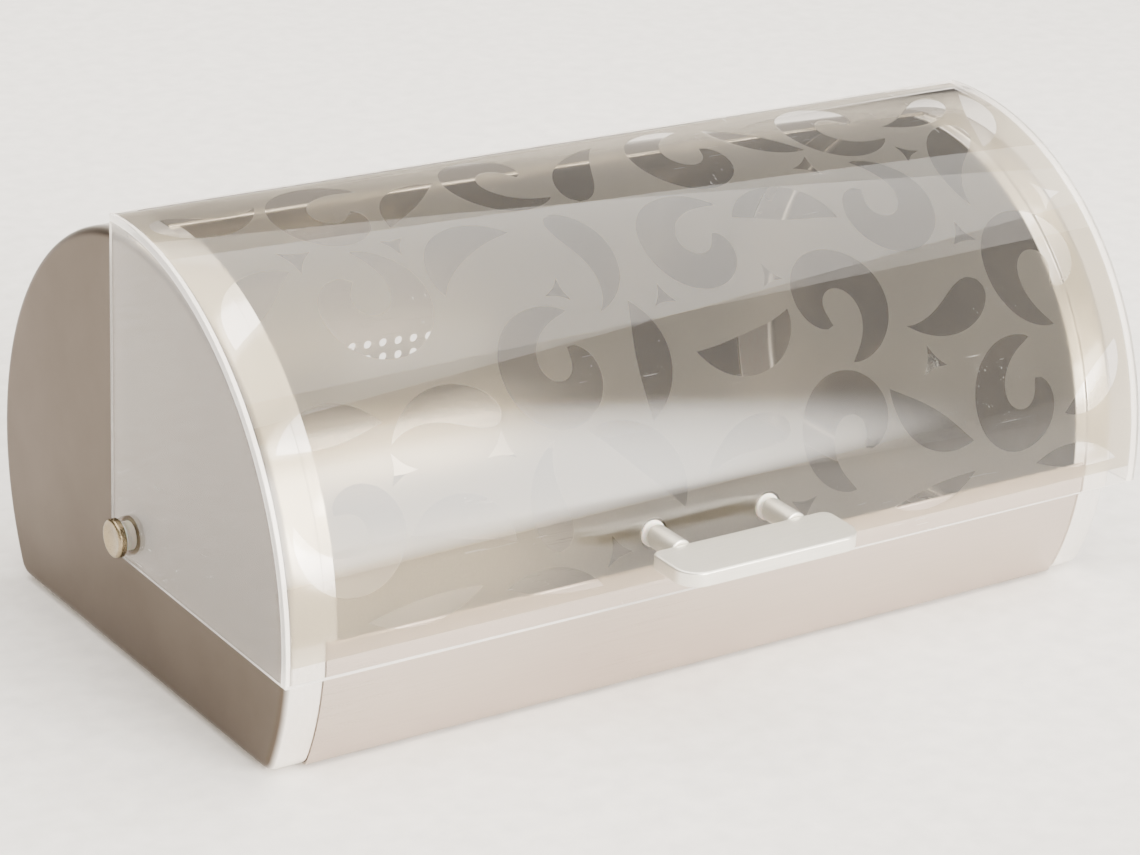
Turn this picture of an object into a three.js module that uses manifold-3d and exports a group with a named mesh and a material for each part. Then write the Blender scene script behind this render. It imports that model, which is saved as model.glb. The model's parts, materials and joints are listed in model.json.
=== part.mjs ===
// Bread box with a roll-top cover.
// Millimetres, +Z up, +X to the right and -Y to the front. The cover turns about an axis along X.
import * as THREE from 'three';
import { mergeVertices } from 'three/addons/utils/BufferGeometryUtils.js';
import Module from 'manifold-3d';

const wasm = await Module();
wasm.setup();

// ---- Driving dimensions -------------------------------------------------------------------------

// Steel box
const boxLength = 380; // over the faces of the end panels
const boxRadius = 115; // outside of the steel, about the pivot axis
const axisHeight = 55; // pivot axis above the bottom of the end panels
const sheet = 0.8; // steel sheet
const gap = 0.3; // between pieces that touch
const rimWidth = 15; // rim of an end panel, from its face
const bendRadius = 4; // bend between face and rim
const cornerRadius = 8; // lower corners of an end panel
const ledgeWidth = 5; // lowered inner edge of the rim
const stepRun = 0.4; // length along X of the step from rim to ledge
const flangeWidth = 12; // turned-in lower edge of front panel and rear shell
const hemWidth = 8; // folded-back edges
const hemGap = 0.1; // air inside a hem
const frontPanelTop = 1.6; // top edge of the front panel below the pivot axis
const rightSeam = 1.0; // open seam between front panel and right rim
const roofEdgeAngle = 0; // front edge of the roof, degrees behind the top

// Vent holes in the rear wall
const ventRadius = 1.9;
const ventColumns = 9;
const ventRows = 3;
const ventColumnPitch = 7.5;
const ventRowPitch = 6.5;
const ventFieldDrop = 3.3; // middle row below the pivot axis

// Feet
const footRadius = 7;
const footTipRadius = 6.3; // at the face that it stands on
const footFromLedge = 5; // room between a foot and the end panel's ledge
const footFromFlange = 1; // room between a foot and the turned-in flange
const footDrop = 1.5; // stand-off below the end panels

// Acrylic cover
const acrylic = 2.8;
const coverSideGap = 2.8; // between end panel and side plate
const coverRadialGap = 6.2; // between steel and the curved sheet
const coverCorner = 8.6; // rounded corner of a side plate, about the pivot
const closedTilt = 1.2; // degrees that the closed cover leans forward
const filmThickness = 0.25;
const filmRearMargin = 1.5; // bare acrylic at the rear edge
const filmLowerMargin = 6.5; // bare acrylic at the lower edge

// Pivot hardware
const pivotRadius = 2.5; // screw shank
const pivotClearance = 0.3;
const pivotHeadRadius = 7.5;
const pivotHeadHeight = 3.2;
const pivotHeadSide = 1.9; // straight side below the rounded edge
const pivotHeadEdge = 1.1; // width of the rounded edge
const pivotHeadDish = 0.7; // depth of the dish
const pivotDishRadius = 2; // flat middle of the dish
const pivotWasherRadius = 6.2;
const pivotWasherThickness = 0.6;
const bushRadius = 5.5;
const capNutRadius = 5; // over the hexagon's corners
const capNutHeight = 6.5;
const capNutHexagon = 3.2; // height of the hexagon
const capNutDomeRadius = 4;
const shankReach = 4; // shank past the inner washer, inside the nut

// Handle
const handleRise = 17; // handle's mid-plane above the pivot axis, square to that plane
const handleDroop = 1.4; // degrees that the closed handle falls to the front
const handleOffset = -15; // middle of the handle from the middle of the box
const handleLength = 80;
const handleDepth = 24;
const handleThickness = 6;
const handleFrontCorner = 9;
const handleBackCorner = 4;
const postSpacing = 52;
const postRadius = 4.5;
const postLength = 15.2;
const studRadius = 2;
const studLength = 7;
const screwRadius = 2;
const screwDepth = 8; // into the post
const screwHeadRadius = 4;
const screwHeadHeight = 2;
const screwHeadChamfer = 1;
const screwWasherRadius = 5;
const screwWasherThickness = 0.8; // at the thin side of its saddle
const filmHoleMargin = 1;

// Facets
const roundSteps = 24; // round a small part
const arcStep = 4; // degrees a facet on the large arcs
const bendSteps = 3;
const cornerSteps = 4;
const ventSides = 10;
const tubeSteps = 90; // round a tube as large as the cover

// ---- Sizes that follow --------------------------------------------------------------------------

const halfLength = boxLength / 2;
const rimEdge = halfLength - rimWidth; // inner end of the rim's outer surface
const ledgeEdge = rimEdge - ledgeWidth;
const seat = sheet + gap; // step from the rim down to the ledge
const coverInnerRadius = boxRadius + coverRadialGap;
const coverRadius = coverInnerRadius + acrylic;
const coverSideInner = halfLength + coverSideGap;
const coverSideOuter = coverSideInner + acrylic;
const coverOverhang = degrees(Math.asin(coverCorner / coverRadius));
const coverRearAngle = coverOverhang;
const coverFrontAngle = -90 - coverOverhang;
const halfBase = Math.sqrt(boxRadius ** 2 - axisHeight ** 2);
const baseAngle = degrees(Math.PI - Math.acos(axisHeight / boxRadius));
const floorLevel = -axisHeight + seat; // underside of the floor panel
const pivotHole = pivotRadius + pivotClearance;
const cutReach = 8; // how far a cutting tool passes through a sheet on each side

// ---- Materials ----------------------------------------------------------------------------------

const endSteel = finish(0xb8aaa0, 0.38, 0.9);
const panelSteel = finish(0xd2c8bf, 0.3, 0.95);
const clearAcrylic = finish(0xe9e6e2, 0.08, 0);
const frosted = finish(0xcfcabb, 0.55, 0);
const satinAluminium = finish(0xdedcd6, 0.42, 0.8);
const champagneMetal = finish(0xb8a67e, 0.3, 0.9);
const brightSteel = finish(0xc9c9c7, 0.28, 0.95);
const nylon = finish(0xe6e3dc, 0.5, 0);
const rubber = finish(0x2b2a29, 0.85, 0);

function finish(color, roughness, metalness) {
  return new THREE.MeshStandardMaterial({ color, roughness, metalness });
}

// ---- Geometry helpers ---------------------------------------------------------------------------

function degrees(radians) {
  return THREE.MathUtils.radToDeg(radians);
}

function radians(angle) {
  return THREE.MathUtils.degToRad(angle);
}

// A point of the section, as (forward-back, up). Angle 0 is the top and positive is to the rear.
function onArc(radius, angle) {
  return new THREE.Vector2(radius * Math.sin(radians(angle)), radius * Math.cos(radians(angle)));
}

function arc(radius, from, to) {
  const steps = Math.max(1, Math.ceil(Math.abs(to - from) / arcStep));
  return Array.from({ length: steps + 1 }, (_, i) => onArc(radius, from + ((to - from) * i) / steps));
}

// A section drawn in Y and Z, drawn out along X from one place to another.
function drawnAlongX(points, from, to) {
  const shape = new THREE.Shape(points);
  const geometry = new THREE.ExtrudeGeometry(shape, { depth: to - from, bevelEnabled: false });
  const toYZ = new THREE.Matrix4().makeBasis(
    new THREE.Vector3(0, 1, 0),
    new THREE.Vector3(0, 0, 1),
    new THREE.Vector3(1, 0, 0),
  );
  return geometry.applyMatrix4(toYZ).translate(from, 0, 0);
}

// A turned part on the X axis. The profile lists (place along X, radius).
function turned(profile, steps = roundSteps) {
  const points = profile.map(([along, radius]) => new THREE.Vector2(radius, along));
  return new THREE.LatheGeometry(points, steps).rotateZ(-Math.PI / 2);
}

function rod(radius, from, to, steps = roundSteps) {
  return turned([[from, 0], [from, radius], [to, radius], [to, 0]], steps);
}

function ring(inner, outer, from, to, steps = roundSteps) {
  return turned([[from, inner], [from, outer], [to, outer], [to, inner], [from, inner]], steps);
}

// Triangles that collapse to a line when equal points are merged, as at the pole of a lathe, are left out.
function wholeTriangles(index) {
  const kept = [];
  for (let i = 0; i < index.length; i += 3) {
    const [a, b, c] = index.slice(i, i + 3);
    if (a !== b && b !== c && c !== a) kept.push(a, b, c);
  }
  return new Uint32Array(kept);
}

function toSolid(geometry) {
  const bare = geometry.clone();
  bare.deleteAttribute('normal');
  bare.deleteAttribute('uv');
  const merged = mergeVertices(bare);
  const mesh = new wasm.Mesh({
    numProp: 3,
    vertProperties: merged.attributes.position.array,
    triVerts: wholeTriangles(merged.index.array),
  });
  return new wasm.Manifold(mesh);
}

function toGeometry(solid) {
  const mesh = solid.getMesh();
  const geometry = new THREE.BufferGeometry();
  geometry.setAttribute('position', new THREE.BufferAttribute(mesh.vertProperties, 3));
  geometry.setIndex(new THREE.BufferAttribute(mesh.triVerts, 1));
  geometry.computeVertexNormals();
  return geometry;
}

function cut(body, ...tools) {
  return toGeometry(tools.reduce((solid, tool) => solid.subtract(toSolid(tool)), toSolid(body)));
}

function join(...pieces) {
  return toGeometry(pieces.map(toSolid).reduce((solid, piece) => solid.add(piece)));
}

function common(...pieces) {
  return toGeometry(pieces.map(toSolid).reduce((solid, piece) => solid.intersect(piece)));
}

function mirroredX(geometry) {
  const mirrored = geometry.clone().applyMatrix4(new THREE.Matrix4().makeScale(-1, 1, 1));
  const index = mirrored.index.array;
  for (let i = 0; i < index.length; i += 3) {
    [index[i], index[i + 1]] = [index[i + 1], index[i]];
  }
  return mirrored;
}

function indexed(geometry) {
  return geometry.index ? geometry : mergeVertices(geometry);
}

function named(name, geometry, material) {
  const mesh = new THREE.Mesh(geometry, material);
  mesh.name = name;
  return mesh;
}

// The same piece at both ends of the box, made for the right end and mirrored to the left.
function pair(name, geometry, material) {
  return [
    named(`left_${name}`, mirroredX(indexed(geometry)), material),
    named(`right_${name}`, geometry, material),
  ];
}

// ---- Steel box ----------------------------------------------------------------------------------

// Outline of an end panel, set in by an offset: the large arc, two lower corners and a flat base.
function endOutline(offset) {
  const radius = cornerRadius - offset;
  const centreY = Math.sqrt((boxRadius - cornerRadius) ** 2 - (axisHeight - cornerRadius) ** 2);
  const centreZ = cornerRadius - axisHeight;
  const tangent = degrees(Math.atan2(centreY, centreZ));
  const corner = (side) => (angle) => onArc(radius, side * angle)
    .add(new THREE.Vector2(side * centreY, centreZ));
  const cornerAngles = Array.from({ length: cornerSteps }, (_, i) => (
    tangent + ((180 - tangent) * (i + 1)) / cornerSteps
  ));
  return [
    ...arc(boxRadius - offset, -tangent, tangent),
    ...cornerAngles.map(corner(1)),
    ...cornerAngles.reverse().map(corner(-1)),
  ];
}

// A closed skin through outlines that all have as many points, with a flat cap at each end.
function lofted(levels) {
  const outlines = levels.map(([x, offset]) => endOutline(offset).map(({ x: y, y: z }) => [x, y, z]));
  const count = outlines[0].length;
  const caps = [outlines[0], outlines.at(-1)].map((outline) => [outline[0][0], 0, 0]);
  const positions = [...outlines, caps].flat(2);
  const firstCap = outlines.length * count;
  const triangles = [];
  for (let i = 0; i < count; i += 1) {
    const next = (i + 1) % count;
    triangles.push(firstCap, next, i);
    for (let level = 0; level < outlines.length - 1; level += 1) {
      const near = level * count;
      const far = near + count;
      triangles.push(near + i, near + next, far + i, near + next, far + next, far + i);
    }
    triangles.push(firstCap + 1, firstCap - count + i, firstCap - count + next);
  }
  const geometry = new THREE.BufferGeometry();
  geometry.setAttribute('position', new THREE.Float32BufferAttribute(positions, 3));
  geometry.setIndex(triangles);
  return geometry;
}

function bendLevels(radius, outer) {
  const straight = halfLength - bendRadius;
  return Array.from({ length: bendSteps + 1 }, (_, i) => {
    const turn = (outer ? i : bendSteps - i) * (Math.PI / 2 / bendSteps);
    return [straight + radius * Math.cos(turn), bendRadius - radius * Math.sin(turn)];
  });
}

function endPanel() {
  const skin = lofted([
    ...bendLevels(bendRadius, true),
    [rimEdge + stepRun, 0],
    [rimEdge, seat],
    [ledgeEdge, seat],
    [ledgeEdge, seat + sheet],
    [rimEdge + sheet, seat + sheet],
    [rimEdge + stepRun + sheet, sheet],
    ...bendLevels(bendRadius - sheet, false),
  ]);
  return cut(skin, rod(pivotHole, halfLength - bendRadius, halfLength + bendRadius));
}

// A sheet on the large arc that ends in a flange turned in along the base.
function wrappedSheet(edgeAngle, side, from, to) {
  const inner = boxRadius - sheet;
  const innerBase = degrees(Math.PI - Math.acos((axisHeight - sheet) / inner));
  const flangeEnd = side * (halfBase - flangeWidth);
  const section = [
    ...arc(boxRadius, edgeAngle, side * baseAngle),
    new THREE.Vector2(flangeEnd, -axisHeight),
    new THREE.Vector2(flangeEnd, sheet - axisHeight),
    ...arc(inner, side * innerBase, edgeAngle),
  ];
  return drawnAlongX(section, from, to);
}

// The folded-back edge inside such a sheet, between the ledges.
function hem(edgeAngle, side) {
  const outer = boxRadius - sheet / 2;
  const inner = boxRadius - 2 * sheet - hemGap;
  const width = degrees(hemWidth / boxRadius) * side;
  const section = [...arc(outer, edgeAngle, edgeAngle + width), ...arc(inner, edgeAngle + width, edgeAngle)];
  return drawnAlongX(section, gap - ledgeEdge, ledgeEdge - gap);
}

function vents() {
  const tools = [];
  for (let row = 0; row < ventRows; row += 1) {
    for (let column = 0; column < ventColumns; column += 1) {
      const x = (column - (ventColumns - 1) / 2) * ventColumnPitch;
      const z = (row - (ventRows - 1) / 2) * ventRowPitch - ventFieldDrop;
      const tool = new THREE.CylinderGeometry(ventRadius, ventRadius, 2 * cutReach, ventSides);
      tools.push(tool.translate(x, boxRadius, z));
    }
  }
  return tools;
}

function rearShell() {
  const shell = wrappedSheet(roofEdgeAngle, 1, gap - rimEdge, rimEdge - gap);
  return cut(join(shell, hem(roofEdgeAngle, 1)), ...vents());
}

function frontPanel() {
  const topAngle = -90 - degrees(Math.asin(frontPanelTop / boxRadius));
  const panel = wrappedSheet(topAngle, -1, gap - rimEdge, rimEdge - rightSeam);
  return join(panel, hem(topAngle, -1));
}

function floorPanel() {
  const inner = boxRadius - sheet;
  const reach = Math.sqrt(inner ** 2 - floorLevel ** 2) - gap - hemGap;
  const size = [2 * (ledgeEdge - gap), 2 * reach, sheet];
  return new THREE.BoxGeometry(...size).translate(0, 0, floorLevel + sheet / 2);
}

function feet() {
  const top = floorLevel - gap;
  const bottom = -axisHeight - footDrop;
  const reachX = ledgeEdge - footFromLedge - footRadius;
  const reachY = halfBase - flangeWidth - footFromFlange - footRadius;
  const foot = new THREE.CylinderGeometry(footRadius, footTipRadius, top - bottom, roundSteps);
  foot.rotateX(Math.PI / 2);
  const places = [['front_left', -1, -1], ['front_right', 1, -1], ['rear_left', -1, 1], ['rear_right', 1, 1]];
  return places.map(([place, alongX, alongY]) => {
    const mesh = named(`foot_${place}`, foot, rubber);
    mesh.position.set(alongX * reachX, alongY * reachY, (top + bottom) / 2);
    return mesh;
  });
}

// ---- Pivots -------------------------------------------------------------------------------------

// Places along X on the right, from the outside in.
const headSeat = coverSideOuter + gap + pivotWasherThickness + gap;
const innerWasherOuter = halfLength - sheet - gap;
const innerWasherInner = innerWasherOuter - pivotWasherThickness;
const nutFace = innerWasherInner - gap;
const shankEnd = nutFace - shankReach;

function pivotScrew() {
  const top = headSeat + pivotHeadHeight;
  const shoulder = headSeat + pivotHeadSide;
  const edge = pivotHeadEdge / 3;
  return turned([
    [shankEnd, 0],
    [shankEnd, pivotRadius],
    [headSeat, pivotRadius],
    [headSeat, pivotHeadRadius],
    [shoulder, pivotHeadRadius],
    [top - edge, pivotHeadRadius - edge],
    [top, pivotHeadRadius - pivotHeadEdge],
    [top - pivotHeadDish, pivotDishRadius],
    [top - pivotHeadDish, 0],
  ]);
}

function spacerBush() {
  return ring(pivotHole, bushRadius, halfLength + gap, coverSideInner - gap);
}

function outerWasher() {
  return ring(pivotHole, pivotWasherRadius, coverSideOuter + gap, headSeat - gap);
}

function innerWasher() {
  return ring(pivotHole, pivotWasherRadius, innerWasherInner, innerWasherOuter);
}

// A hexagon nut with a domed end and a blind hole for the shank.
function capNut() {
  const hexagonEnd = nutFace - capNutHexagon;
  const domeHeight = capNutHeight - capNutHexagon;
  const quarter = Array.from({ length: cornerSteps + 1 }, (_, i) => (Math.PI / 2) * (1 - i / cornerSteps));
  const dome = turned([
    ...quarter.map((turn) => [hexagonEnd - domeHeight * Math.sin(turn), capNutDomeRadius * Math.cos(turn)]),
    [hexagonEnd + gap, capNutDomeRadius],
    [hexagonEnd + gap, 0],
  ]);
  const hexagon = rod(capNutRadius, hexagonEnd, nutFace, 6);
  return cut(join(hexagon, dome), rod(pivotHole, shankEnd - gap, nutFace + gap));
}

function pivots() {
  return [
    ...pair('pivot_screw', pivotScrew(), champagneMetal),
    ...pair('outer_washer', outerWasher(), nylon),
    ...pair('spacer_bush', spacerBush(), nylon),
    ...pair('inner_washer', innerWasher(), brightSteel),
    ...pair('cap_nut', capNut(), brightSteel),
  ];
}

// ---- Cover --------------------------------------------------------------------------------------

function coverSheet(screwHoles) {
  const section = [
    ...arc(coverRadius, coverRearAngle, coverFrontAngle),
    ...arc(coverInnerRadius, coverFrontAngle, coverRearAngle),
  ];
  return cut(drawnAlongX(section, -coverSideOuter, coverSideOuter), ...screwHoles);
}

// A quarter disc whose inner corner is rounded about the pivot.
function coverSide() {
  const radius = coverInnerRadius - gap;
  const overhang = degrees(Math.asin(coverCorner / radius));
  const corner = Array.from({ length: cornerSteps + 1 }, (_, i) => (
    onArc(coverCorner, 180 - (90 * i) / cornerSteps)
  ));
  const section = [...arc(radius, overhang, -90 - overhang), ...corner];
  const plate = drawnAlongX(section, coverSideInner, coverSideOuter);
  return cut(plate, rod(pivotHole, coverSideInner - gap, coverSideOuter + gap));
}

function frostedFilm(screwHoles) {
  const outer = coverInnerRadius - gap;
  const rear = coverRearAngle - degrees(filmRearMargin / outer);
  const front = coverFrontAngle + degrees(filmLowerMargin / outer);
  const section = [...arc(outer, rear, front), ...arc(outer - filmThickness, front, rear)];
  const film = drawnAlongX(section, gap - coverSideInner, coverSideInner - gap);
  return cut(film, ...screwHoles);
}

// ---- Handle -------------------------------------------------------------------------------------

// The handle is laid out on lines straight out to the front, at its own rise and droop. A place along
// such a line is a distance from the pivot axis, on a plane square to the line.
const handleTurn = radians(handleDroop - closedTilt);
const postSeat = Math.sqrt((coverRadius + gap) ** 2 - handleRise ** 2);
const postEnd = postSeat + postLength;
const thinSide = Math.sqrt((coverInnerRadius - gap) ** 2 - (handleRise + screwWasherRadius) ** 2);
const washerFace = thinSide - screwWasherThickness;
const screwFace = washerFace - gap;
const screwHole = screwRadius + gap;
const postPlaces = [['left', handleOffset - postSpacing / 2], ['right', handleOffset + postSpacing / 2]];

function pointedForward(geometry, x) {
  return geometry.rotateZ(-Math.PI / 2).translate(x, 0, handleRise);
}

// Holes through a sheet of the cover, one for each post.
function postHoles(radius) {
  return postPlaces.map(([, x]) => (
    pointedForward(rod(radius, postSeat - cutReach, postSeat + cutReach), x).rotateX(handleTurn)
  ));
}

function handlePost(x) {
  const blank = turned([
    [postSeat - cutReach, 0],
    [postSeat - cutReach, postRadius],
    [postEnd, postRadius],
    [postEnd, studRadius],
    [postEnd + studLength, studRadius],
    [postEnd + studLength, 0],
  ]);
  const bore = rod(screwHole, postSeat - 2 * cutReach, postSeat + screwDepth + gap);
  const coverTube = rod(coverRadius + gap, -coverSideOuter, coverSideOuter, tubeSteps);
  return cut(pointedForward(blank, x), pointedForward(bore, x), coverTube);
}

function handleScrew(x) {
  const head = screwFace - screwHeadHeight;
  const screw = turned([
    [head, 0],
    [head, screwHeadRadius - screwHeadChamfer],
    [head + screwHeadChamfer, screwHeadRadius],
    [screwFace, screwHeadRadius],
    [screwFace, screwRadius],
    [postSeat + screwDepth, screwRadius],
    [postSeat + screwDepth, 0],
  ]);
  return pointedForward(screw, x);
}

// Flat under the screw head and hollowed to the cover on its other face.
function handleWasher(x) {
  const blank = pointedForward(ring(screwHole, screwWasherRadius, washerFace, postSeat), x);
  const coverTube = rod(coverInnerRadius - gap, -coverSideOuter, coverSideOuter, tubeSteps);
  return common(blank, coverTube);
}

// Small round corners at the back and large ones at the front, with a blind hole for each stud.
function handlePlate() {
  const half = handleLength / 2;
  const back = -postEnd - gap;
  const front = back - handleDepth;
  const backX = half - handleBackCorner;
  const backY = back - handleBackCorner;
  const frontX = half - handleFrontCorner;
  const frontY = front + handleFrontCorner;
  const outline = new THREE.Shape();
  outline.absarc(backX, backY, handleBackCorner, Math.PI / 2, 0, true);
  outline.absarc(frontX, frontY, handleFrontCorner, 0, -Math.PI / 2, true);
  outline.absarc(-frontX, frontY, handleFrontCorner, -Math.PI / 2, -Math.PI, true);
  outline.absarc(-backX, backY, handleBackCorner, Math.PI, Math.PI / 2, true);
  const settings = { depth: handleThickness, bevelEnabled: false, curveSegments: cornerSteps };
  const blank = new THREE.ExtrudeGeometry(outline, settings);
  blank.translate(handleOffset, 0, handleRise - handleThickness / 2);
  const studHoles = postPlaces.map(([, x]) => (
    pointedForward(rod(studRadius + gap, postEnd - gap, postEnd + studLength + 2 * gap), x)
  ));
  return cut(blank, ...studHoles);
}

function handle() {
  const group = new THREE.Group();
  group.rotation.x = handleTurn;
  group.add(named('handle_plate', handlePlate(), satinAluminium));
  for (const [side, x] of postPlaces) {
    group.add(
      named(`${side}_handle_post`, handlePost(x), satinAluminium),
      named(`${side}_handle_screw`, handleScrew(x), brightSteel),
      named(`${side}_handle_washer`, handleWasher(x), nylon),
    );
  }
  return group;
}

// ---- Assembly -----------------------------------------------------------------------------------

const box = new THREE.Group();
box.add(
  ...pair('end_panel', endPanel(), endSteel),
  named('rear_shell', rearShell(), panelSteel),
  named('front_panel', frontPanel(), panelSteel),
  named('floor_panel', floorPanel(), panelSteel),
  ...feet(),
  ...pivots(),
);

const cover = new THREE.Group();
cover.rotation.x = radians(closedTilt);
cover.add(
  named('cover_sheet', coverSheet(postHoles(screwHole)), clearAcrylic),
  ...pair('cover_side', coverSide(), clearAcrylic),
  named('frosted_film', frostedFilm(postHoles(screwWasherRadius + filmHoleMargin)), frosted),
  handle(),
);

// The origin is under the middle of the whole bread box, on what it stands on.
const breadBox = new THREE.Group();
breadBox.add(box, cover);
breadBox.updateMatrixWorld(true);
const bounds = new THREE.Box3().setFromObject(breadBox, true);
const middle = bounds.getCenter(new THREE.Vector3());
breadBox.position.set(-middle.x, -middle.y, -bounds.min.z);

export default breadBox;
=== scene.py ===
import json
import math

import bmesh
import bpy
from bpy.props import FloatProperty, FloatVectorProperty, IntProperty, PointerProperty
from mathutils import Matrix, Vector


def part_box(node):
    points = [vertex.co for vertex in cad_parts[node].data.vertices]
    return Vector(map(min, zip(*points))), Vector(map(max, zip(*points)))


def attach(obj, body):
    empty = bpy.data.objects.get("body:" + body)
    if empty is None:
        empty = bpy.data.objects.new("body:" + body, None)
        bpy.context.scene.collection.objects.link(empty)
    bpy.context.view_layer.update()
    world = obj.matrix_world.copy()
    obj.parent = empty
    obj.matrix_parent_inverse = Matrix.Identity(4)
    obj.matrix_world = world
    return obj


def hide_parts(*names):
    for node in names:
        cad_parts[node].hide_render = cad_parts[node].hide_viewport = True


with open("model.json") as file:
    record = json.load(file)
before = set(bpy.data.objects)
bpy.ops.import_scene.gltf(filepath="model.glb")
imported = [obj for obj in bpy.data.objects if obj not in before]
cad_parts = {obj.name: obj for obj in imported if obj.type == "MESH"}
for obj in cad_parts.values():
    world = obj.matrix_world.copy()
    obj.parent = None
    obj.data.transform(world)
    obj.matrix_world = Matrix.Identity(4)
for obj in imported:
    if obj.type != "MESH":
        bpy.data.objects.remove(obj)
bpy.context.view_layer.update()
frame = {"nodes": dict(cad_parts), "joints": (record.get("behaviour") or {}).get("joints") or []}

bl_info = {
    "name": "Bread box with roll-top cover",
    "version": (1, 0, 0),
    "blender": (4, 5, 0),
    "location": "View3D > Sidebar > Bread Box",
    "description": "Builds the steel box, the clear roll-top cover and the stage around the packed frame",
    "category": "Object",
}

AXIS = Vector(frame["joints"][0]["pos_m"])

# ---- How finely pieces are made, in metres, degrees and counts ----------------------------------

ROUND_STEPS = 48        # sides of a turned piece
VENT_STEPS = 24         # sides of a vent hole
CORNER_TURN = 7.5       # degrees between points of a side plate's round corner
PLEAT = 0.004           # widest flat strip of the bent film
DOUBLES = 1e-6          # points nearer than this are one
SEAM = 0.0001           # hairline gap between pieces that touch
NICK = 0.0002           # smallest broken edge
EASE = 0.0003           # eased edge
CHAMFER = 0.0004        # chamfered edge
CUT_THROUGH = 0.02      # length of a cutting tool for a thin wall
CUT_BEYOND = 0.002      # how far a cutting tool stands out of a wall
SAWN_EDGE = "sawn_edge"
FACING = 0.9            # a face turned further than this from its sheet's own way is an edge

# ---- Sizes and places that the frame gives ------------------------------------------------------


def low(node):
    """Lowest corner of a frame node."""
    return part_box(node)[0]


def high(node):
    """Highest corner of a frame node."""
    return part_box(node)[1]


BASE = low("right_end_panel").z - AXIS.z
HALF_LENGTH = high("right_end_panel").x
STEEL_RADIUS = high("rear_shell").y - AXIS.y
LEDGE_EDGE = low("right_end_panel").x
SHEET_END = high("rear_shell").x
SIDE_INNER = low("right_cover_side").x
SIDE_OUTER = high("right_cover_side").x
ACRYLIC = SIDE_OUTER - SIDE_INNER
HANDLE_LEFT = (low("left_handle_post").x + high("left_handle_post").x) / 2
HANDLE_RIGHT = (low("right_handle_post").x + high("right_handle_post").x) / 2


# ---- Settings that a user would change ----------------------------------------------------------


def length(name, description, default):
    """A length setting in metres."""
    return FloatProperty(name=name, description=description, default=default, unit="LENGTH", precision=5)


def angle(name, description, default):
    """An angle setting, given in degrees."""
    return FloatProperty(name=name, description=description, default=math.radians(default), unit="ROTATION")


def colour(name, description, default):
    """A colour setting."""
    return FloatVectorProperty(
        name=name, description=description, default=default, subtype="COLOR", size=3, min=0, max=1
    )


class BoxSizes(bpy.types.PropertyGroup):
    sheet: length("Sheet", "Thickness of the steel sheet", 0.0008)
    bend: length("Bend", "Radius of the bend between face and rim of an end panel", 0.004)
    rim: length("Rim", "Width of an end panel's rim, from its face", 0.015)
    step: length("Step", "Depth of the step from the rim down to the ledge", 0.0011)
    step_run: length("Step run", "Length of that step along the box", 0.0004)
    corner: length("Corner", "Radius of an end panel's lower corners", 0.008)
    flange: length("Flange", "Width of the turned-in lower flange", 0.012)
    hem: length("Hem", "Width of a folded-back edge", 0.008)
    hem_gap: length("Hem gap", "Air inside a hem", 0.0001)
    panel_drop: length("Front panel drop", "Top edge of the front panel below the pivot axis", 0.0016)
    vent_radius: length("Vent radius", "Radius of a vent hole", 0.0019)
    vent_columns: IntProperty(name="Vent columns", description="Vent holes in a row", default=9, min=2)
    vent_rows: IntProperty(name="Vent rows", description="Rows of vent holes", default=3, min=2)
    vent_pitch_x: length("Vent pitch along", "Distance between vent holes in a row", 0.0075)
    vent_pitch_z: length("Vent pitch up", "Distance between rows of vent holes", 0.0065)
    vent_drop: length("Vent drop", "Middle of the vents below the pivot axis", 0.0033)


class HardwareSizes(bpy.types.PropertyGroup):
    shank: length("Shank", "Radius of the pivot screw's shank", 0.0025)
    hole: length("Hole", "Radius of the holes for the pivot screw", 0.0028)
    head: length("Head", "Radius of the pivot screw's head", 0.0075)
    dish: length("Dish", "Depth of the dish in the pivot screw's head", 0.0007)
    bush: length("Bush", "Radius of the spacer bush", 0.0055)
    washer: length("Washer", "Radius of the pivot washers", 0.0062)
    ring_edge: length("Ring edge", "Eased edge of a pivot washer or bush", 0.00012)
    nut: length("Cap nut", "Radius of the cap nut over its corners", 0.005)
    foot: length("Foot", "Radius of a rubber foot", 0.007)


class CoverSizes(bpy.types.PropertyGroup):
    inner: length("Inner radius", "Inside of the curved sheet, about the pivot axis", 0.1212)
    corner: length("Corner", "Rounded corner of a side plate, about the pivot", 0.0086)
    glue: length("Glue line", "Thickness of the glue between sheet and side plates", 0.00006)
    polish: length("Polished edge", "Rounding of the polished acrylic edges", 0.0004)
    tilt: angle("Tilt", "How far the closed cover leans forward", 1.2)
    film: length("Film", "Thickness of the frosted film", 0.0002)
    film_rear: length("Film rear margin", "Bare acrylic at the rear edge", 0.0015)
    film_lower: length("Film lower margin", "Bare acrylic at the lower edge", 0.0065)
    post_hole: length("Post hole", "Radius of the hole in the film round a handle screw", 0.006)


class HandleSizes(bpy.types.PropertyGroup):
    rise: length("Rise", "Handle's mid-plane above the pivot axis", 0.017)
    droop: angle("Droop", "How far the closed handle falls to the front", 1.4)
    length: length("Length", "Length of the handle bar", 0.080)
    depth: length("Depth", "Depth of the handle bar", 0.024)
    thickness: length("Thickness", "Thickness of the handle bar", 0.006)
    front_corner: length("Front corner", "Radius of the front corners", 0.009)
    back_corner: length("Back corner", "Radius of the back corners", 0.004)
    bevel: length("Bevel", "Rounding of the bar's edges", 0.0009)
    post: length("Post", "Radius of a handle post", 0.0045)
    post_length: length("Post length", "Length of a post along its middle", 0.0152)
    stud: length("Stud", "Radius of the stud in the bar", 0.002)
    screw_head: length("Screw head", "Radius of a handle screw's head", 0.004)
    washer: length("Washer", "Radius of a handle washer", 0.005)


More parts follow.
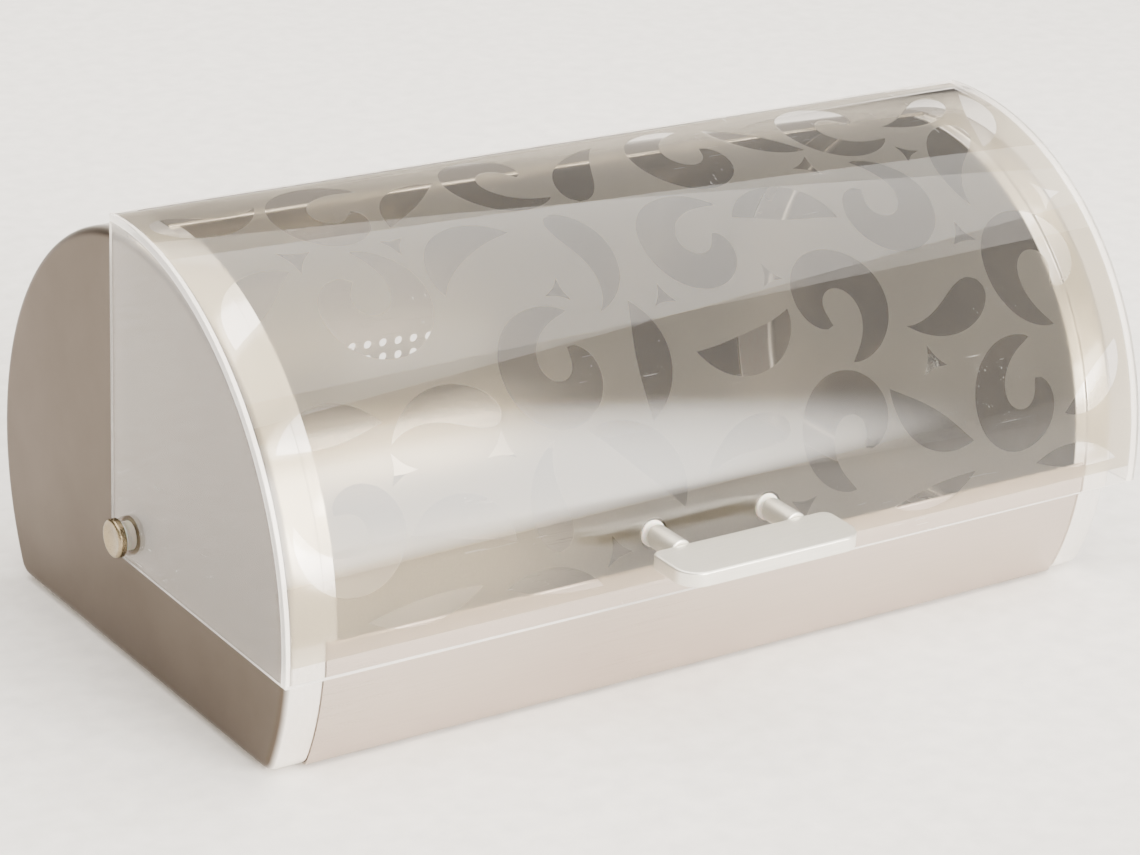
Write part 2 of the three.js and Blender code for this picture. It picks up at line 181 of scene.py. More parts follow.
class Finishes(bpy.types.PropertyGroup):
    # Painted light and shade: the end face and end rim are one steel, painted dark as shade on the face and
    # bright as a highlight on the rim.
    end_face_painted_shade: colour("End face", "Satin face of an end panel", (0.12, 0.093, 0.071))
    end_rim_painted_light: colour("End rim", "Brighter rim of an end panel", (0.985, 0.955, 0.915))
    # Painted shade: the shell is the front panel's steel painted darker for the dim inside of the box.
    shell: colour("Shell steel", "Brushed steel of roof and rear wall", (0.36, 0.325, 0.275))
    panel: colour("Panel steel", "Brushed steel of the front panel", (0.58, 0.50, 0.445))
    floor_steel: colour("Floor steel", "Floor panel", (0.46, 0.445, 0.41))
    acrylic: colour("Acrylic", "Clear acrylic", (0.985, 0.965, 0.94))
    # Partly painted shade: the frost tint is the film's own warm colour, darkened to stand for the dim inside
    # seen through it.
    frost: colour("Frost", "Frosted film", (0.69, 0.655, 0.565))
    aluminium: colour("Aluminium", "Satin aluminium of the handle", (0.85, 0.825, 0.75))
    champagne: colour("Champagne nickel", "Pivot screws", (0.32, 0.26, 0.165))
    bright: colour("Bright steel", "Nuts, washers and handle screws", (0.66, 0.66, 0.65))
    nylon: colour("Nylon", "Bushes and washers of the cover", (0.80, 0.78, 0.73))
    rubber: colour("Rubber", "Feet", (0.025, 0.024, 0.023))
    backdrop: colour("Backdrop", "Studio floor", (0.94, 0.92, 0.895))


class BreadBoxSettings(bpy.types.PropertyGroup):
    box: PointerProperty(type=BoxSizes)
    hardware: PointerProperty(type=HardwareSizes)
    cover: PointerProperty(type=CoverSizes)
    handle: PointerProperty(type=HandleSizes)
    finishes: PointerProperty(type=Finishes)


# ---- Plane geometry -----------------------------------------------------------------------------


def on_arc(radius, degrees):
    """Point of the section, as (Y, Z) about the axis. 0 degrees is the top and positive is to the rear."""
    turn = math.radians(degrees)
    return radius * math.sin(turn), radius * math.cos(turn)


def arc(radius, start, end, step=1.5):
    """Points along an arc about the axis."""
    count = max(1, math.ceil(abs(end - start) / step))
    return [on_arc(radius, start + (end - start) * i / count) for i in range(count + 1)]


def round_corners(corners, steps=4):
    """A closed outline from (a, b, radius) corners, each rounded by an arc of its radius."""
    outline = []
    count = len(corners)
    for i, (a, b, radius) in enumerate(corners):
        here = Vector((a, b))
        back = (Vector(corners[i - 1][:2]) - here).normalized()
        ahead = (Vector(corners[(i + 1) % count][:2]) - here).normalized()
        if radius == 0:
            outline.append((a, b))
            continue
        half = back.angle(ahead) / 2
        middle = here + (back + ahead).normalized() * radius / math.sin(half)
        first = here + back * radius / math.tan(half) - middle
        last = here + ahead * radius / math.tan(half) - middle
        sweep = first.angle_signed(last)
        for k in range(steps + 1):
            turned = first.copy()
            turned.rotate(Matrix.Rotation(-sweep * k / steps, 2))
            outline.append(tuple(middle + turned))
    return outline


def edge_rounds(start, end, radius, steps=3):
    """Places from start to end with the inset of each, so that both edges come out rounded."""
    turns = [math.pi / 2 * i / steps for i in range(steps + 1)]
    way = math.copysign(radius, end - start)
    first = [(start + way * (1 - math.cos(t)), radius * (1 - math.sin(t))) for t in turns]
    last = [(end - way * (1 - math.cos(t)), radius * (1 - math.sin(t))) for t in reversed(turns)]
    return first + last


# ---- Mesh work ----------------------------------------------------------------------------------


def linked(name, data):
    """A new object in the scene."""
    holder = bpy.data.objects.new(name, data)
    bpy.context.scene.collection.objects.link(holder)
    return holder


def new_piece(name, points, faces):
    """An object whose doubles are merged and whose faces point outwards."""
    mesh = bpy.data.meshes.new(name)
    mesh.from_pydata(points, [], faces)
    piece = linked(name, mesh)
    clean(piece)
    return piece


def clean(piece):
    """Merges doubles and turns the faces outwards."""
    work = bmesh.new()
    work.from_mesh(piece.data)
    bmesh.ops.remove_doubles(work, verts=work.verts, dist=DOUBLES)
    bmesh.ops.recalc_face_normals(work, faces=work.faces)
    work.to_mesh(piece.data)
    work.free()


def loft(name, outlines):
    """A closed skin through outlines of equal length, capped at both ends."""
    count = len(outlines[0])
    points = [p for outline in outlines for p in outline]
    faces = [list(range(count)), list(range(len(points) - count, len(points)))]
    for level in range(len(outlines) - 1):
        near = level * count
        for i in range(count):
            ahead = (i + 1) % count
            faces.append([near + i, near + ahead, near + count + ahead, near + count + i])
    return new_piece(name, points, faces)


def along_x(outline, x):
    """A (Y, Z) outline placed across the axis at x."""
    return [(x, y, z) for y, z in outline]


def ring_faces(radii, steps):
    """Faces between rings of points, the last ring joined to the first, with none along the axis."""
    faces = []
    for i, radius in enumerate(radii):
        far = (i + 1) % len(radii)
        if radius == 0 and radii[far] == 0:
            continue
        for k in range(steps):
            ahead = (k + 1) % steps
            faces.append([i * steps + k, i * steps + ahead, far * steps + ahead, far * steps + k])
    return faces


def lathe(name, profile, steps=ROUND_STEPS):
    """A turned piece on the X axis from an (x, radius) profile that closes on itself or on the axis."""
    turns = [math.tau * k / steps for k in range(steps)]
    points = [
        (x, radius * math.cos(turn), radius * math.sin(turn)) for x, radius in profile for turn in turns
    ]
    return new_piece(name, points, ring_faces([radius for _, radius in profile], steps))


def rod(name, radius, start, end, steps=ROUND_STEPS):
    """A plain rod along X, used as a cutting tool."""
    return lathe(name, [(start, 0), (start, radius), (end, radius), (end, 0)], steps)


def baked(piece):
    """Turns the piece's modifiers into its plain mesh."""
    graph = bpy.context.evaluated_depsgraph_get()
    mesh = bpy.data.meshes.new_from_object(piece.evaluated_get(graph))
    piece.modifiers.clear()
    piece.data = mesh
    return piece


def combined(piece, tools, operation):
    """Cuts the tools from the piece, or joins them to it, and removes them."""
    for tool in tools:
        modifier = piece.modifiers.new("combine", "BOOLEAN")
        modifier.operation = operation
        modifier.solver = "EXACT"
        modifier.object = tool
    baked(piece)
    for tool in tools:
        bpy.data.objects.remove(tool)
    return piece


def moved(piece, matrix):
    """Moves the piece's mesh, so that its object stays at the origin."""
    piece.data.transform(matrix)
    return piece


def at_axis(piece):
    """Moves a piece that was made about the origin to the pivot axis."""
    return moved(piece, Matrix.Translation(AXIS))


def mirrored(piece, name):
    """A copy for the other end of the box."""
    copy = linked(name, piece.data.copy())
    copy.data.transform(Matrix.Scale(-1, 4, Vector((1, 0, 0))))
    clean(copy)
    return copy


def finished(piece, body, slot, material, *nodes, crease=32):
    """Smooths the piece between its creases, gives it its material and ties it to the frame."""
    mesh = piece.data
    mesh.materials.clear()
    mesh.materials.append(material)
    mesh.shade_smooth()
    mesh.set_sharp_from_angle(angle=math.radians(crease))
    even = piece.modifiers.new("even_flats", "WEIGHTED_NORMAL")
    even.keep_sharp = True
    even.weight = 80
    baked(piece)
    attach(piece, body)
    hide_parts(*nodes)
    return piece


# ---- Geometry Nodes for what repeats ------------------------------------------------------------


def new_tree(name, sockets):
    """A geometry tree with a Geometry input, named inputs and a Geometry output."""
    tree = bpy.data.node_groups.new(name, "GeometryNodeTree")
    tree.interface.new_socket("Geometry", in_out="INPUT", socket_type="NodeSocketGeometry")
    for label, kind in sockets:
        tree.interface.new_socket(label, in_out="INPUT", socket_type=f"NodeSocket{kind}")
    tree.interface.new_socket("Geometry", in_out="OUTPUT", socket_type="NodeSocketGeometry")
    return tree


def add(tree, kind, values=None, **links):
    """Adds a node, sets its values and links its inputs by name."""
    node = tree.nodes.new(kind)
    for key, value in (values or {}).items():
        if hasattr(node, key):
            setattr(node, key, value)
        else:
            node.inputs[key].default_value = value
    for key, source in links.items():
        tree.links.new(source, node.inputs[key.replace("_", " ")])
    return node


def sums(tree, operation, first, second):
    """Adds a Math node. Each of its values is a socket or a number."""
    node = add(tree, "ShaderNodeMath", {"operation": operation})
    for socket, value in zip(node.inputs, (first, second)):
        if isinstance(value, bpy.types.NodeSocket):
            tree.links.new(value, socket)
        else:
            socket.default_value = value
    return node.outputs[0]


def close_tree(tree, geometry, material):
    """Ends the tree in Realize Instances and Set Material."""
    real = add(tree, "GeometryNodeRealizeInstances", Geometry=geometry)
    named = add(tree, "GeometryNodeSetMaterial", Geometry=real.outputs[0], Material=material)
    out = tree.nodes.new("NodeGroupOutput")
    tree.links.new(named.outputs[0], out.inputs[0])


def row_of_copies():
    """Copies of a piece in a row, each turned further about Z than the last."""
    tree = new_tree("row_of_copies", [
        ("Count", "Int"), ("Start", "Vector"), ("Step", "Vector"), ("Turn", "Float"),
        ("Material", "Material"),
    ])
    given = tree.nodes.new("NodeGroupInput").outputs
    line = add(tree, "GeometryNodeMeshLine", Count=given["Count"], Start_Location=given["Start"],
               Offset=given["Step"])
    index = add(tree, "GeometryNodeInputIndex")
    rotation = add(tree, "ShaderNodeCombineXYZ", Z=sums(tree, "MULTIPLY", index.outputs[0], given["Turn"]))
    copies = add(tree, "GeometryNodeInstanceOnPoints", Points=line.outputs[0], Instance=given["Geometry"],
                 Rotation=rotation.outputs[0])
    close_tree(tree, copies.outputs[0], given["Material"])
    return tree


def grid_of_copies():
    """Copies of a piece on a flat grid."""
    tree = new_tree("grid_of_copies", [
        ("Columns", "Int"), ("Rows", "Int"), ("Width", "Float"), ("Depth", "Float"), ("Middle", "Vector"),
        ("Material", "Material"),
    ])
    given = tree.nodes.new("NodeGroupInput").outputs
    grid = add(tree, "GeometryNodeMeshGrid", Size_X=given["Width"], Size_Y=given["Depth"],
               Vertices_X=given["Columns"], Vertices_Y=given["Rows"])
    place = add(tree, "GeometryNodeTransform", Geometry=grid.outputs[0], Translation=given["Middle"])
    copies = add(tree, "GeometryNodeInstanceOnPoints", Points=place.outputs[0], Instance=given["Geometry"])
    close_tree(tree, copies.outputs[0], given["Material"])
    return tree


def punched_holes():
    """A field of round holes punched through the rear wall along Y."""
    tree = new_tree("punched_holes", [
        ("Columns", "Int"), ("Rows", "Int"), ("Width", "Float"), ("Height", "Float"), ("Radius", "Float"),
        ("Middle", "Vector"), ("Material", "Material"),
    ])
    given = tree.nodes.new("NodeGroupInput").outputs
    punch = add(tree, "GeometryNodeMeshCylinder", {"Vertices": VENT_STEPS, "Depth": CUT_THROUGH},
                Radius=given["Radius"])
    grid = add(tree, "GeometryNodeMeshGrid", Size_X=given["Width"], Size_Y=given["Height"],
               Vertices_X=given["Columns"], Vertices_Y=given["Rows"])
    punches = add(tree, "GeometryNodeInstanceOnPoints", Points=grid.outputs[0], Instance=punch.outputs[0])
    upright = add(tree, "GeometryNodeTransform", {"Rotation": (math.pi / 2, 0, 0)},
                  Geometry=punches.outputs[0], Translation=given["Middle"])
    tools = add(tree, "GeometryNodeRealizeInstances", Geometry=upright.outputs[0])
    holes = add(tree, "GeometryNodeMeshBoolean", {"operation": "DIFFERENCE"})
    tree.links.new(given["Geometry"], holes.inputs["Mesh 1"])
    tree.links.new(tools.outputs[0], holes.inputs["Mesh 2"])
    close_tree(tree, holes.outputs[0], given["Material"])
    return tree


def grown(piece, tree, **values):
    """Runs a geometry tree on the piece and keeps the result as a plain mesh."""
    modifier = piece.modifiers.new(tree.name, "NODES")
    modifier.node_group = tree
    for item in tree.interface.items_tree:
        key = item.name.lower().replace(" ", "_")
        if item.in_out == "INPUT" and key in values:
            modifier[item.identifier] = values[key]
    return baked(piece)


def pair_of_ends(piece, material):
    """The piece at the right pivot and its copy at the left, half a turn round."""
    return grown(piece, row_of_copies(), count=2, start=AXIS, turn=math.pi, material=material)


# ---- Finishes -----------------------------------------------------------------------------------


class Finish:
    """A node material on object coordinates with one Principled shader."""

    def __init__(self, name, base, roughness, metallic=0.0):
        self.material = bpy.data.materials.new(name)
        self.material.use_nodes = True
        self.tree = self.material.node_tree
        self.shader = self.tree.nodes["Principled BSDF"]
        self.output = self.tree.nodes["Material Output"]
        self.base = tuple(base) + (1,)
        self.set(Base_Color=self.base, Roughness=roughness, Metallic=metallic)
        self.place = self.tree.nodes.new("ShaderNodeTexCoord").outputs["Object"]

    def set(self, **values):
        for key, value in values.items():
            self.shader.inputs[key.replace("_", " ")].default_value = value

    def node(self, kind, values=None, **links):
        return add(self.tree, kind, values, **links)

    def sums(self, operation, first, second):
        return sums(self.tree, operation, first, second)

    def noise(self, scale, stretch=(1, 1, 1), detail=3.0, rough=0.5):
        """Noise whose grain is 1/scale metres, drawn out by the stretch of each axis."""
        mapping = self.node("ShaderNodeMapping", {"Scale": stretch}, Vector=self.place)
        texture = self.node("ShaderNodeTexNoise", {"Scale": scale, "Detail": detail, "Roughness": rough},
                            Vector=mapping.outputs[0])
        return texture.outputs["Fac"]

    def ranged(self, value, low_end, high_end, start=0.3, end=0.7):
        """Maps a value from start..end to low_end..high_end."""
        node = self.node("ShaderNodeMapRange", {
            "From Min": start, "From Max": end, "To Min": low_end, "To Max": high_end,
        }, Value=value)
        return node.outputs[0]

    def mixed(self, factor, first, second):
        """Mixes two colours. Each is a colour value or a socket."""
        node = self.tree.nodes.new("ShaderNodeMix")
        node.data_type = "RGBA"
        self.tree.links.new(factor, node.inputs["Factor"])
        for key, value in (("A", first), ("B", second)):
            socket = next(s for s in node.inputs if s.name == key and s.type == "RGBA")
            if isinstance(value, bpy.types.NodeSocket):
                self.tree.links.new(value, socket)
            else:
                socket.default_value = value
        return next(s for s in node.outputs if s.type == "RGBA")

    def shade(self, factor):
        """The base colour made darker or lighter by the factor."""
        return tuple(channel * factor for channel in self.base[:3]) + (1,)

    def link(self, source, socket):
        self.tree.links.new(source, self.shader.inputs[socket])

    def bump(self, height, depth, strength=1.0, over=None):
        """Relief of the given depth in metres, on top of other relief where there is some."""
        links = {"Height": height}
        if over:
            links["Normal"] = over
        node = self.node("ShaderNodeBump", {"Strength": strength, "Distance": depth}, **links)
        self.link(node.outputs[0], "Normal")
        return node.outputs[0]

    def lamps_pass(self, tint):
        """Lets lamps shine through the piece with a tint, as thin clear plastic does."""
        clear = self.node("ShaderNodeBsdfTransparent", {"Color": tuple(tint) + (1,)})
        path = self.tree.nodes.new("ShaderNodeLightPath")
        mix = self.tree.nodes.new("ShaderNodeMixShader")
        self.tree.links.new(path.outputs["Is Shadow Ray"], mix.inputs[0])
        self.tree.links.new(self.shader.outputs[0], mix.inputs[1])
        self.tree.links.new(clear.outputs[0], mix.inputs[2])
        self.tree.links.new(mix.outputs[0], self.output.inputs["Surface"])


def brushed_steel(name, base, roughness):
    """Steel brushed along the length of the box, with smudges and rolling marks."""
    look = Finish(name, base, roughness, metallic=1.0)
    lines = look.noise(1.0, stretch=(18, 2600, 2600), detail=4, rough=0.6)
    cloud = look.noise(22, detail=4)
    smudge = look.noise(7, stretch=(1, 1.4, 1.4), detail=2)
    tone = look.mixed(look.ranged(lines, 0, 1), look.shade(0.93), look.shade(1.03))
    worn = look.mixed(look.ranged(cloud, 0, 0.35), tone, look.shade(0.88))
    look.link(worn, "Base Color")
    grained = look.ranged(lines, roughness - 0.05, roughness + 0.05)
    look.link(look.sums("ADD", grained, look.ranged(smudge, -0.02, 0.07)), "Roughness")
    fine = look.bump(lines, 0.00002, 0.5)
    look.bump(look.noise(9, detail=1), 0.0004, 0.12, over=fine)
    return look.material


def end_steel(finishes):
    """Satin steel whose flat face is duller and painted dark as shade and whose rim is painted bright as a
    highlight: one steel in a shaded and a lit copy.
    """
    look = Finish("satin_end_steel", finishes.end_rim_painted_light, 0.3, metallic=1.0)
    axes = look.node("ShaderNodeSeparateXYZ", Vector=look.place)
    # Depth in from the end where the rim's painted highlight gives way to the face's painted shade.
    lit_rim_reach = 0.0022
    shaded_face_reach = 0.0004
    reach = look.sums("ABSOLUTE", axes.outputs["X"], 0)
    face = look.ranged(reach, 0, 1, start=HALF_LENGTH - lit_rim_reach, end=HALF_LENGTH - shaded_face_reach)
    grain = look.noise(900, stretch=(1, 1, 0.12), detail=4, rough=0.6)
    cloud = look.noise(12, detail=5, rough=0.6)
    # Painted shade on the face and painted highlight on the rim, mixed by the face mask.
    shaded_face_colour = tuple(finishes.end_face_painted_shade) + (1,)
    bright = look.mixed(look.ranged(grain, 0, 1), look.shade(0.95), look.shade(1.03))
    base = look.mixed(face, bright, shaded_face_colour)
    darker = tuple(channel * 0.84 for channel in finishes.end_face_painted_shade) + (1,)
    patch = look.sums("MULTIPLY", look.ranged(cloud, 0, 0.8), face)
    look.link(look.mixed(patch, base, darker), "Base Color")
    dulled = look.ranged(face, 0.27, 0.4, start=0, end=1)
    look.link(look.sums("ADD", dulled, look.ranged(cloud, -0.03, 0.06)), "Roughness")
    fine = look.bump(grain, 0.000015, 0.5)
    look.bump(look.noise(8, detail=1), 0.0005, 0.1, over=fine)
    return look.material


def clear_acrylic(finishes):
    """Clear acrylic with hairline scratches and a faint haze."""
    look = Finish("clear_acrylic", finishes.acrylic, 0.0)
    look.set(Transmission_Weight=1.0, IOR=1.49)
    across = look.noise(1.0, stretch=(40, 1500, 900), detail=2)
    slanted = look.noise(1.0, stretch=(900, 60, 700), detail=2)
    hair = look.sums("MAXIMUM", look.ranged(across, 0, 1, 0.70, 0.74), look.ranged(slanted, 0, 1, 0.71, 0.75))
    rub = look.noise(14, detail=4)
    haze = look.sums("MULTIPLY", hair, look.ranged(rub, 0.0, 0.35, 0.42, 0.62))
    edge = look.node("ShaderNodeAttribute", {"attribute_name": SAWN_EDGE}).outputs["Fac"]
    look.link(look.sums("MAXIMUM", haze, look.ranged(edge, 0, 0.42, 0, 1)), "Roughness")
    look.link(look.ranged(edge, 1, 0.35, 0, 1), "Transmission Weight")
    look.bump(look.noise(5, detail=0), 0.0006, 0.05)
    look.lamps_pass((0.95, 0.94, 0.93))
    return look.material


def mark_edges(piece, is_edge):
    """Stores 1 on the faces that are sawn edges, and 0 on the others, for the acrylic's finish."""
    layer = piece.data.attributes.new(SAWN_EDGE, "FLOAT", "FACE")
    for polygon, value in zip(piece.data.polygons, layer.data):
        value.value = 1.0 if is_edge(polygon) else 0.0
    return piece


def frosted_film(finishes):
    """Sand-frosted film: milky, finely speckled and half see-through."""
    # The base colour is partly painted shade: the film tint darkened for the dim inside behind the film.
    look = Finish("frosted_film", finishes.frost, 0.3)
    look.set(Transmission_Weight=0.978, IOR=1.05)
    speck = look.noise(1700, detail=2, rough=0.7)
    cloud = look.noise(30, detail=3)
    tone = look.mixed(look.ranged(speck, 0, 1, 0.35, 0.65), look.shade(0.9), look.shade(1.08))
    look.link(look.mixed(look.ranged(cloud, 0, 0.25), tone, look.shade(0.94)), "Base Color")
    look.link(look.ranged(speck, 0.5, 0.64), "Roughness")
    look.bump(speck, 0.000004, 0.5)
    look.lamps_pass((0.30, 0.29, 0.26))
    return look.material


def satin_aluminium(finishes):
    """Anodised satin aluminium with a fine even grain."""
    look = Finish("satin_aluminium", finishes.aluminium, 0.36, metallic=0.85)
    grain = look.noise(1.0, stretch=(120, 2400, 2400), detail=3)
    bead = look.noise(2600, detail=1)
    look.link(look.mixed(look.ranged(grain, 0, 1), look.shade(0.95), look.shade(1.03)), "Base Color")
    look.link(look.ranged(grain, 0.31, 0.41), "Roughness")
    fine = look.bump(bead, 0.00001, 0.5)
    look.bump(grain, 0.00001, 0.4, over=fine)
    return look.material


def turned_metal(name, base, roughness):
    """Plated turned metal with fine tool rings about its own axis and light tarnish."""
    look = Finish(name, base, roughness, metallic=1.0)
    grain = look.noise(1500, stretch=(3, 1, 1), detail=3)
    tarnish = look.noise(260, detail=4)
    look.link(look.mixed(look.ranged(tarnish, 0, 0.6), look.shade(1.05), look.shade(0.78)), "Base Color")
    look.link(look.ranged(grain, roughness - 0.06, roughness + 0.08), "Roughness")
    look.bump(grain, 0.00001, 0.5)
    return look.material


def moulded(name, base, roughness, grain_size, depth, translucent=0.0):
    """Moulded plastic or rubber with a fine skin texture and handling marks."""
    look = Finish(name, base, roughness)
    look.set(Subsurface_Weight=translucent, Subsurface_Scale=0.002)
    grain = look.noise(1 / grain_size, detail=3)
    marks = look.noise(90, detail=4)
    look.link(look.mixed(look.ranged(marks, 0, 0.6), look.shade(1.05), look.shade(0.85)), "Base Color")
    look.link(look.ranged(marks, roughness - 0.06, roughness + 0.08), "Roughness")
    look.bump(grain, depth, 0.6)
    return look.material


# ---- Steel box ----------------------------------------------------------------------------------


def end_outline(inset, box):
    """Outline of an end panel: the large arc, two lower corners and a flat base."""
    radius = box.corner - inset
    middle_z = BASE + box.corner
    middle_y = math.sqrt((STEEL_RADIUS - box.corner) ** 2 - middle_z**2)
    tangent = math.degrees(math.atan2(middle_y, middle_z))
    steps = 10
    turns = [tangent + (180 - tangent) * (i + 1) / steps for i in range(steps)]
    rear = [(middle_y + y, middle_z + z) for y, z in (on_arc(radius, turn) for turn in turns)]
    front = [(-y, z) for y, z in reversed(rear)]
    return arc(STEEL_RADIUS - inset, -tangent, tangent) + rear + front


def bend_levels(radius, box, outer):
    """Levels of the bend between face and rim, from the face out or from the rim in."""
    steps = 8
    turns = [math.pi / 2 * i / steps for i in range(steps + 1)]
    straight = HALF_LENGTH - box.bend
    levels = [(straight + radius * math.cos(t), box.bend - radius * math.sin(t)) for t in turns]
    return levels if outer else levels[::-1]


def end_panel(box, hardware):
    """The right end panel: flat face, round bend, rim, step and ledge, with a hole for the pivot."""
    rim_edge = HALF_LENGTH - box.rim
    turn_in = box.step + box.sheet
    outside = bend_levels(box.bend, box, True)
    inside = bend_levels(box.bend - box.sheet, box, False)
    inner_face = HALF_LENGTH - box.sheet
    rim_start = rim_edge + box.step_run
    flat_edge = box.bend + 0.001
    levels = [
        (HALF_LENGTH, flat_edge), *outside,
        (rim_start + EASE, 0), (rim_start, SEAM),
        (rim_edge, box.step - SEAM), (rim_edge - EASE, box.step),
        (LEDGE_EDGE + NICK, box.step), (LEDGE_EDGE, box.step + NICK),
        (LEDGE_EDGE, turn_in - NICK), (LEDGE_EDGE + NICK, turn_in),
        (rim_edge + box.sheet, turn_in), (rim_start + box.sheet, box.sheet),
        *inside, (inner_face, flat_edge),
    ]
    panel = loft("right_end", [along_x(end_outline(inset, box), x) for x, inset in levels])
    tool = rod("tool", hardware.hole, HALF_LENGTH - CUT_THROUGH / 2, HALF_LENGTH + CUT_THROUGH / 2)
    return combined(panel, [tool], "DIFFERENCE")


def wrapped_section(edge, side, box):
    """Section of a sheet on the large arc: hemmed at its edge, with a flange turned in at the base."""
    outer = STEEL_RADIUS
    inner = outer - box.sheet
    leaf = outer - 2 * box.sheet - box.hem_gap
    nose = (outer - leaf) / 2
    across = math.degrees(1 / outer) * side
    base_angle = side * (180 - math.degrees(math.acos(-BASE / outer)))
    inner_base = side * (180 - math.degrees(math.acos((-BASE - box.sheet) / inner)))
    nose_turns = [math.radians(18 * i) for i in range(1, 10)]
    fold = [
        on_arc(outer - nose + nose * math.cos(turn), edge + across * nose * (1 - math.sin(turn)))
        for turn in nose_turns
    ]
    base_bend = 0.001
    base_reach = math.sqrt(outer**2 - BASE**2)
    flange_start = side * (base_reach - 0.0008)
    flange_end = side * (base_reach - box.flange)
    hem_end = edge + across * box.hem
    return [
        *arc(outer, edge + across * nose, base_angle - across * base_bend),
        on_arc(outer, base_angle - across * CHAMFER),
        (flange_start, BASE),
        (flange_end, BASE),
        (flange_end, BASE + box.sheet),
        *arc(inner, inner_base, hem_end),
        on_arc(leaf + box.sheet, hem_end),
        on_arc(leaf + NICK, hem_end),
        *arc(leaf, hem_end - across * NICK, edge + across * nose),
        *fold[::-1],
    ]


def rear_shell(box, material):
    """Roof and rear wall in one sheet, with punched vents."""
    section = wrapped_section(0, 1, box)
    shell = at_axis(loft("rear_wall_and_roof", [along_x(section, x) for x in (-SHEET_END, SHEET_END)]))
    middle = Vector((0, AXIS.y + STEEL_RADIUS, AXIS.z - box.vent_drop))
    width = (box.vent_columns - 1) * box.vent_pitch_x
    height = (box.vent_rows - 1) * box.vent_pitch_z
    return grown(shell, punched_holes(), columns=box.vent_columns, rows=box.vent_rows, width=width,
                 height=height, radius=box.vent_radius, middle=middle, material=material)


def front_panel(box):
    """Low curved strip with a hemmed top edge."""
    edge = -90 - math.degrees(math.asin(box.panel_drop / STEEL_RADIUS))
    section = wrapped_section(edge, -1, box)
    ends = (low("front_panel").x, high("front_panel").x)
    return at_axis(loft("front_strip", [along_x(section, x) for x in ends]))


def foot(hardware):
    """A rubber foot with a rounded rim and a hollow tread, standing on Z."""
    node_low, node_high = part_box("foot_front_left")
    height = node_high.z - node_low.z
    radius = hardware.foot
    tip = radius - 0.0007
    rounding = 0.0006
    tread = 0.45 * tip
    tread_edge = 0.5 * tip
    profile = [
        (EASE, 0), (EASE, tread), (0, tread_edge), (0, tip - rounding), (NICK, tip - NICK),
        (rounding, tip), (height - CHAMFER, radius - SEAM), (height - SEAM, radius - EASE),
        (height, radius - rounding), (height, 0),
    ]
    return moved(lathe("rubber_feet", profile), Matrix.Rotation(-math.pi / 2, 4, "Y"))


# ---- Pivots -------------------------------------------------------------------------------------


def ring_profile(inner, outer, start, end, edge):
    """Profile of a washer or bush with eased edges."""
    return [
        (start, inner + edge), (start, outer - edge), (start + edge, outer), (end - edge, outer),
        (end, outer - edge), (end, inner + edge), (end - edge, inner), (start + edge, inner),
    ]


def pivot_screw(hardware):
    """Screw with a low round head, rolled rim and dished middle."""
    shank_end = low("right_pivot_screw").x
    top = high("right_pivot_screw").x
    seat = high("right_outer_washer").x + EASE
    radius = hardware.head
    roll = 0.0012
    lip = radius - roll
    turns = [math.radians(15 * i) for i in range(7)]
    rim = [(top - roll + roll * math.sin(turn), lip + roll * math.cos(turn)) for turn in turns]
    rings = 8
    dish = [
        (top - hardware.dish * (1 - (i / rings) ** 2), (lip - EASE) * i / rings) for i in range(rings, -1, -1)
    ]
    profile = [
        (shank_end, 0), (shank_end, hardware.shank - CHAMFER), (shank_end + CHAMFER, hardware.shank),
        (seat, hardware.shank), (seat, radius - EASE), (seat + EASE, radius), *rim, *dish,
    ]
    return lathe("pivot_screws", profile, 64)


def cap_nut(hardware):
    """Hexagon nut with a domed end, blind bored for the shank."""
    end = low("right_cap_nut").x
    face = high("right_cap_nut").x
    flat_end = face - 0.0032
    dome_radius = 0.004
    corners = hardware.nut + SEAM
    across_flats = hardware.nut * math.cos(math.pi / 6)
    hexagon = rod("cap_nuts", hardware.nut, flat_end, face, 6)
    cone = lathe("tool", [
        (flat_end, 0), (flat_end, across_flats), (flat_end + CHAMFER, corners),
        (face - CHAMFER, corners), (face, across_flats), (face, 0),
    ])
    combined(hexagon, [cone], "INTERSECT")
    turns = [math.radians(9 * i) for i in range(11)]
    dome = lathe("tool", [
        *[(flat_end - (flat_end - end) * math.cos(turn), dome_radius * math.sin(turn)) for turn in turns],
        (flat_end + EASE, dome_radius), (flat_end + EASE, 0),
    ])
    combined(hexagon, [dome], "UNION")
    bore = rod("tool", hardware.hole, low("right_pivot_screw").x - EASE, face + CUT_BEYOND / 2)
    return combined(hexagon, [bore], "DIFFERENCE")


# ---- Cover --------------------------------------------------------------------------------------


def cover_angles(cover):
    """Rear and front angle of the closed curved sheet."""
    overhang = math.degrees(math.asin(cover.corner / (cover.inner + ACRYLIC)))
    tilt = math.degrees(cover.tilt)
    return overhang - tilt, -90 - overhang - tilt


def strip_section(inner, outer, rear, front, inset):
    """Section of a curved sheet with its four corners eased."""
    shrink = math.degrees(inset / outer)
    turn = math.degrees(EASE / outer)
    small = inner + inset
    large = outer - inset
    start = rear - shrink
    stop = front + shrink
    bulge = 0.3
    near = EASE * bulge
    near_turn = turn * bulge
    return [
        *arc(large, start - turn, stop + turn), on_arc(large - near, stop + near_turn),
        on_arc(large - EASE, stop), on_arc(small + EASE, stop), on_arc(small + near, stop + near_turn),
        *arc(small, stop + turn, start - turn), on_arc(small + near, start - near_turn),
        on_arc(small + EASE, start), on_arc(large - EASE, start), on_arc(large - near, start - near_turn),
    ]


def forward_tool(radius, x, start, end, handle):
    """A cutting rod along a handle post's line, from one distance in front of the axis to another."""
    tool = rod("tool", radius, start, end)
    return moved(tool, forward_place(x, handle))


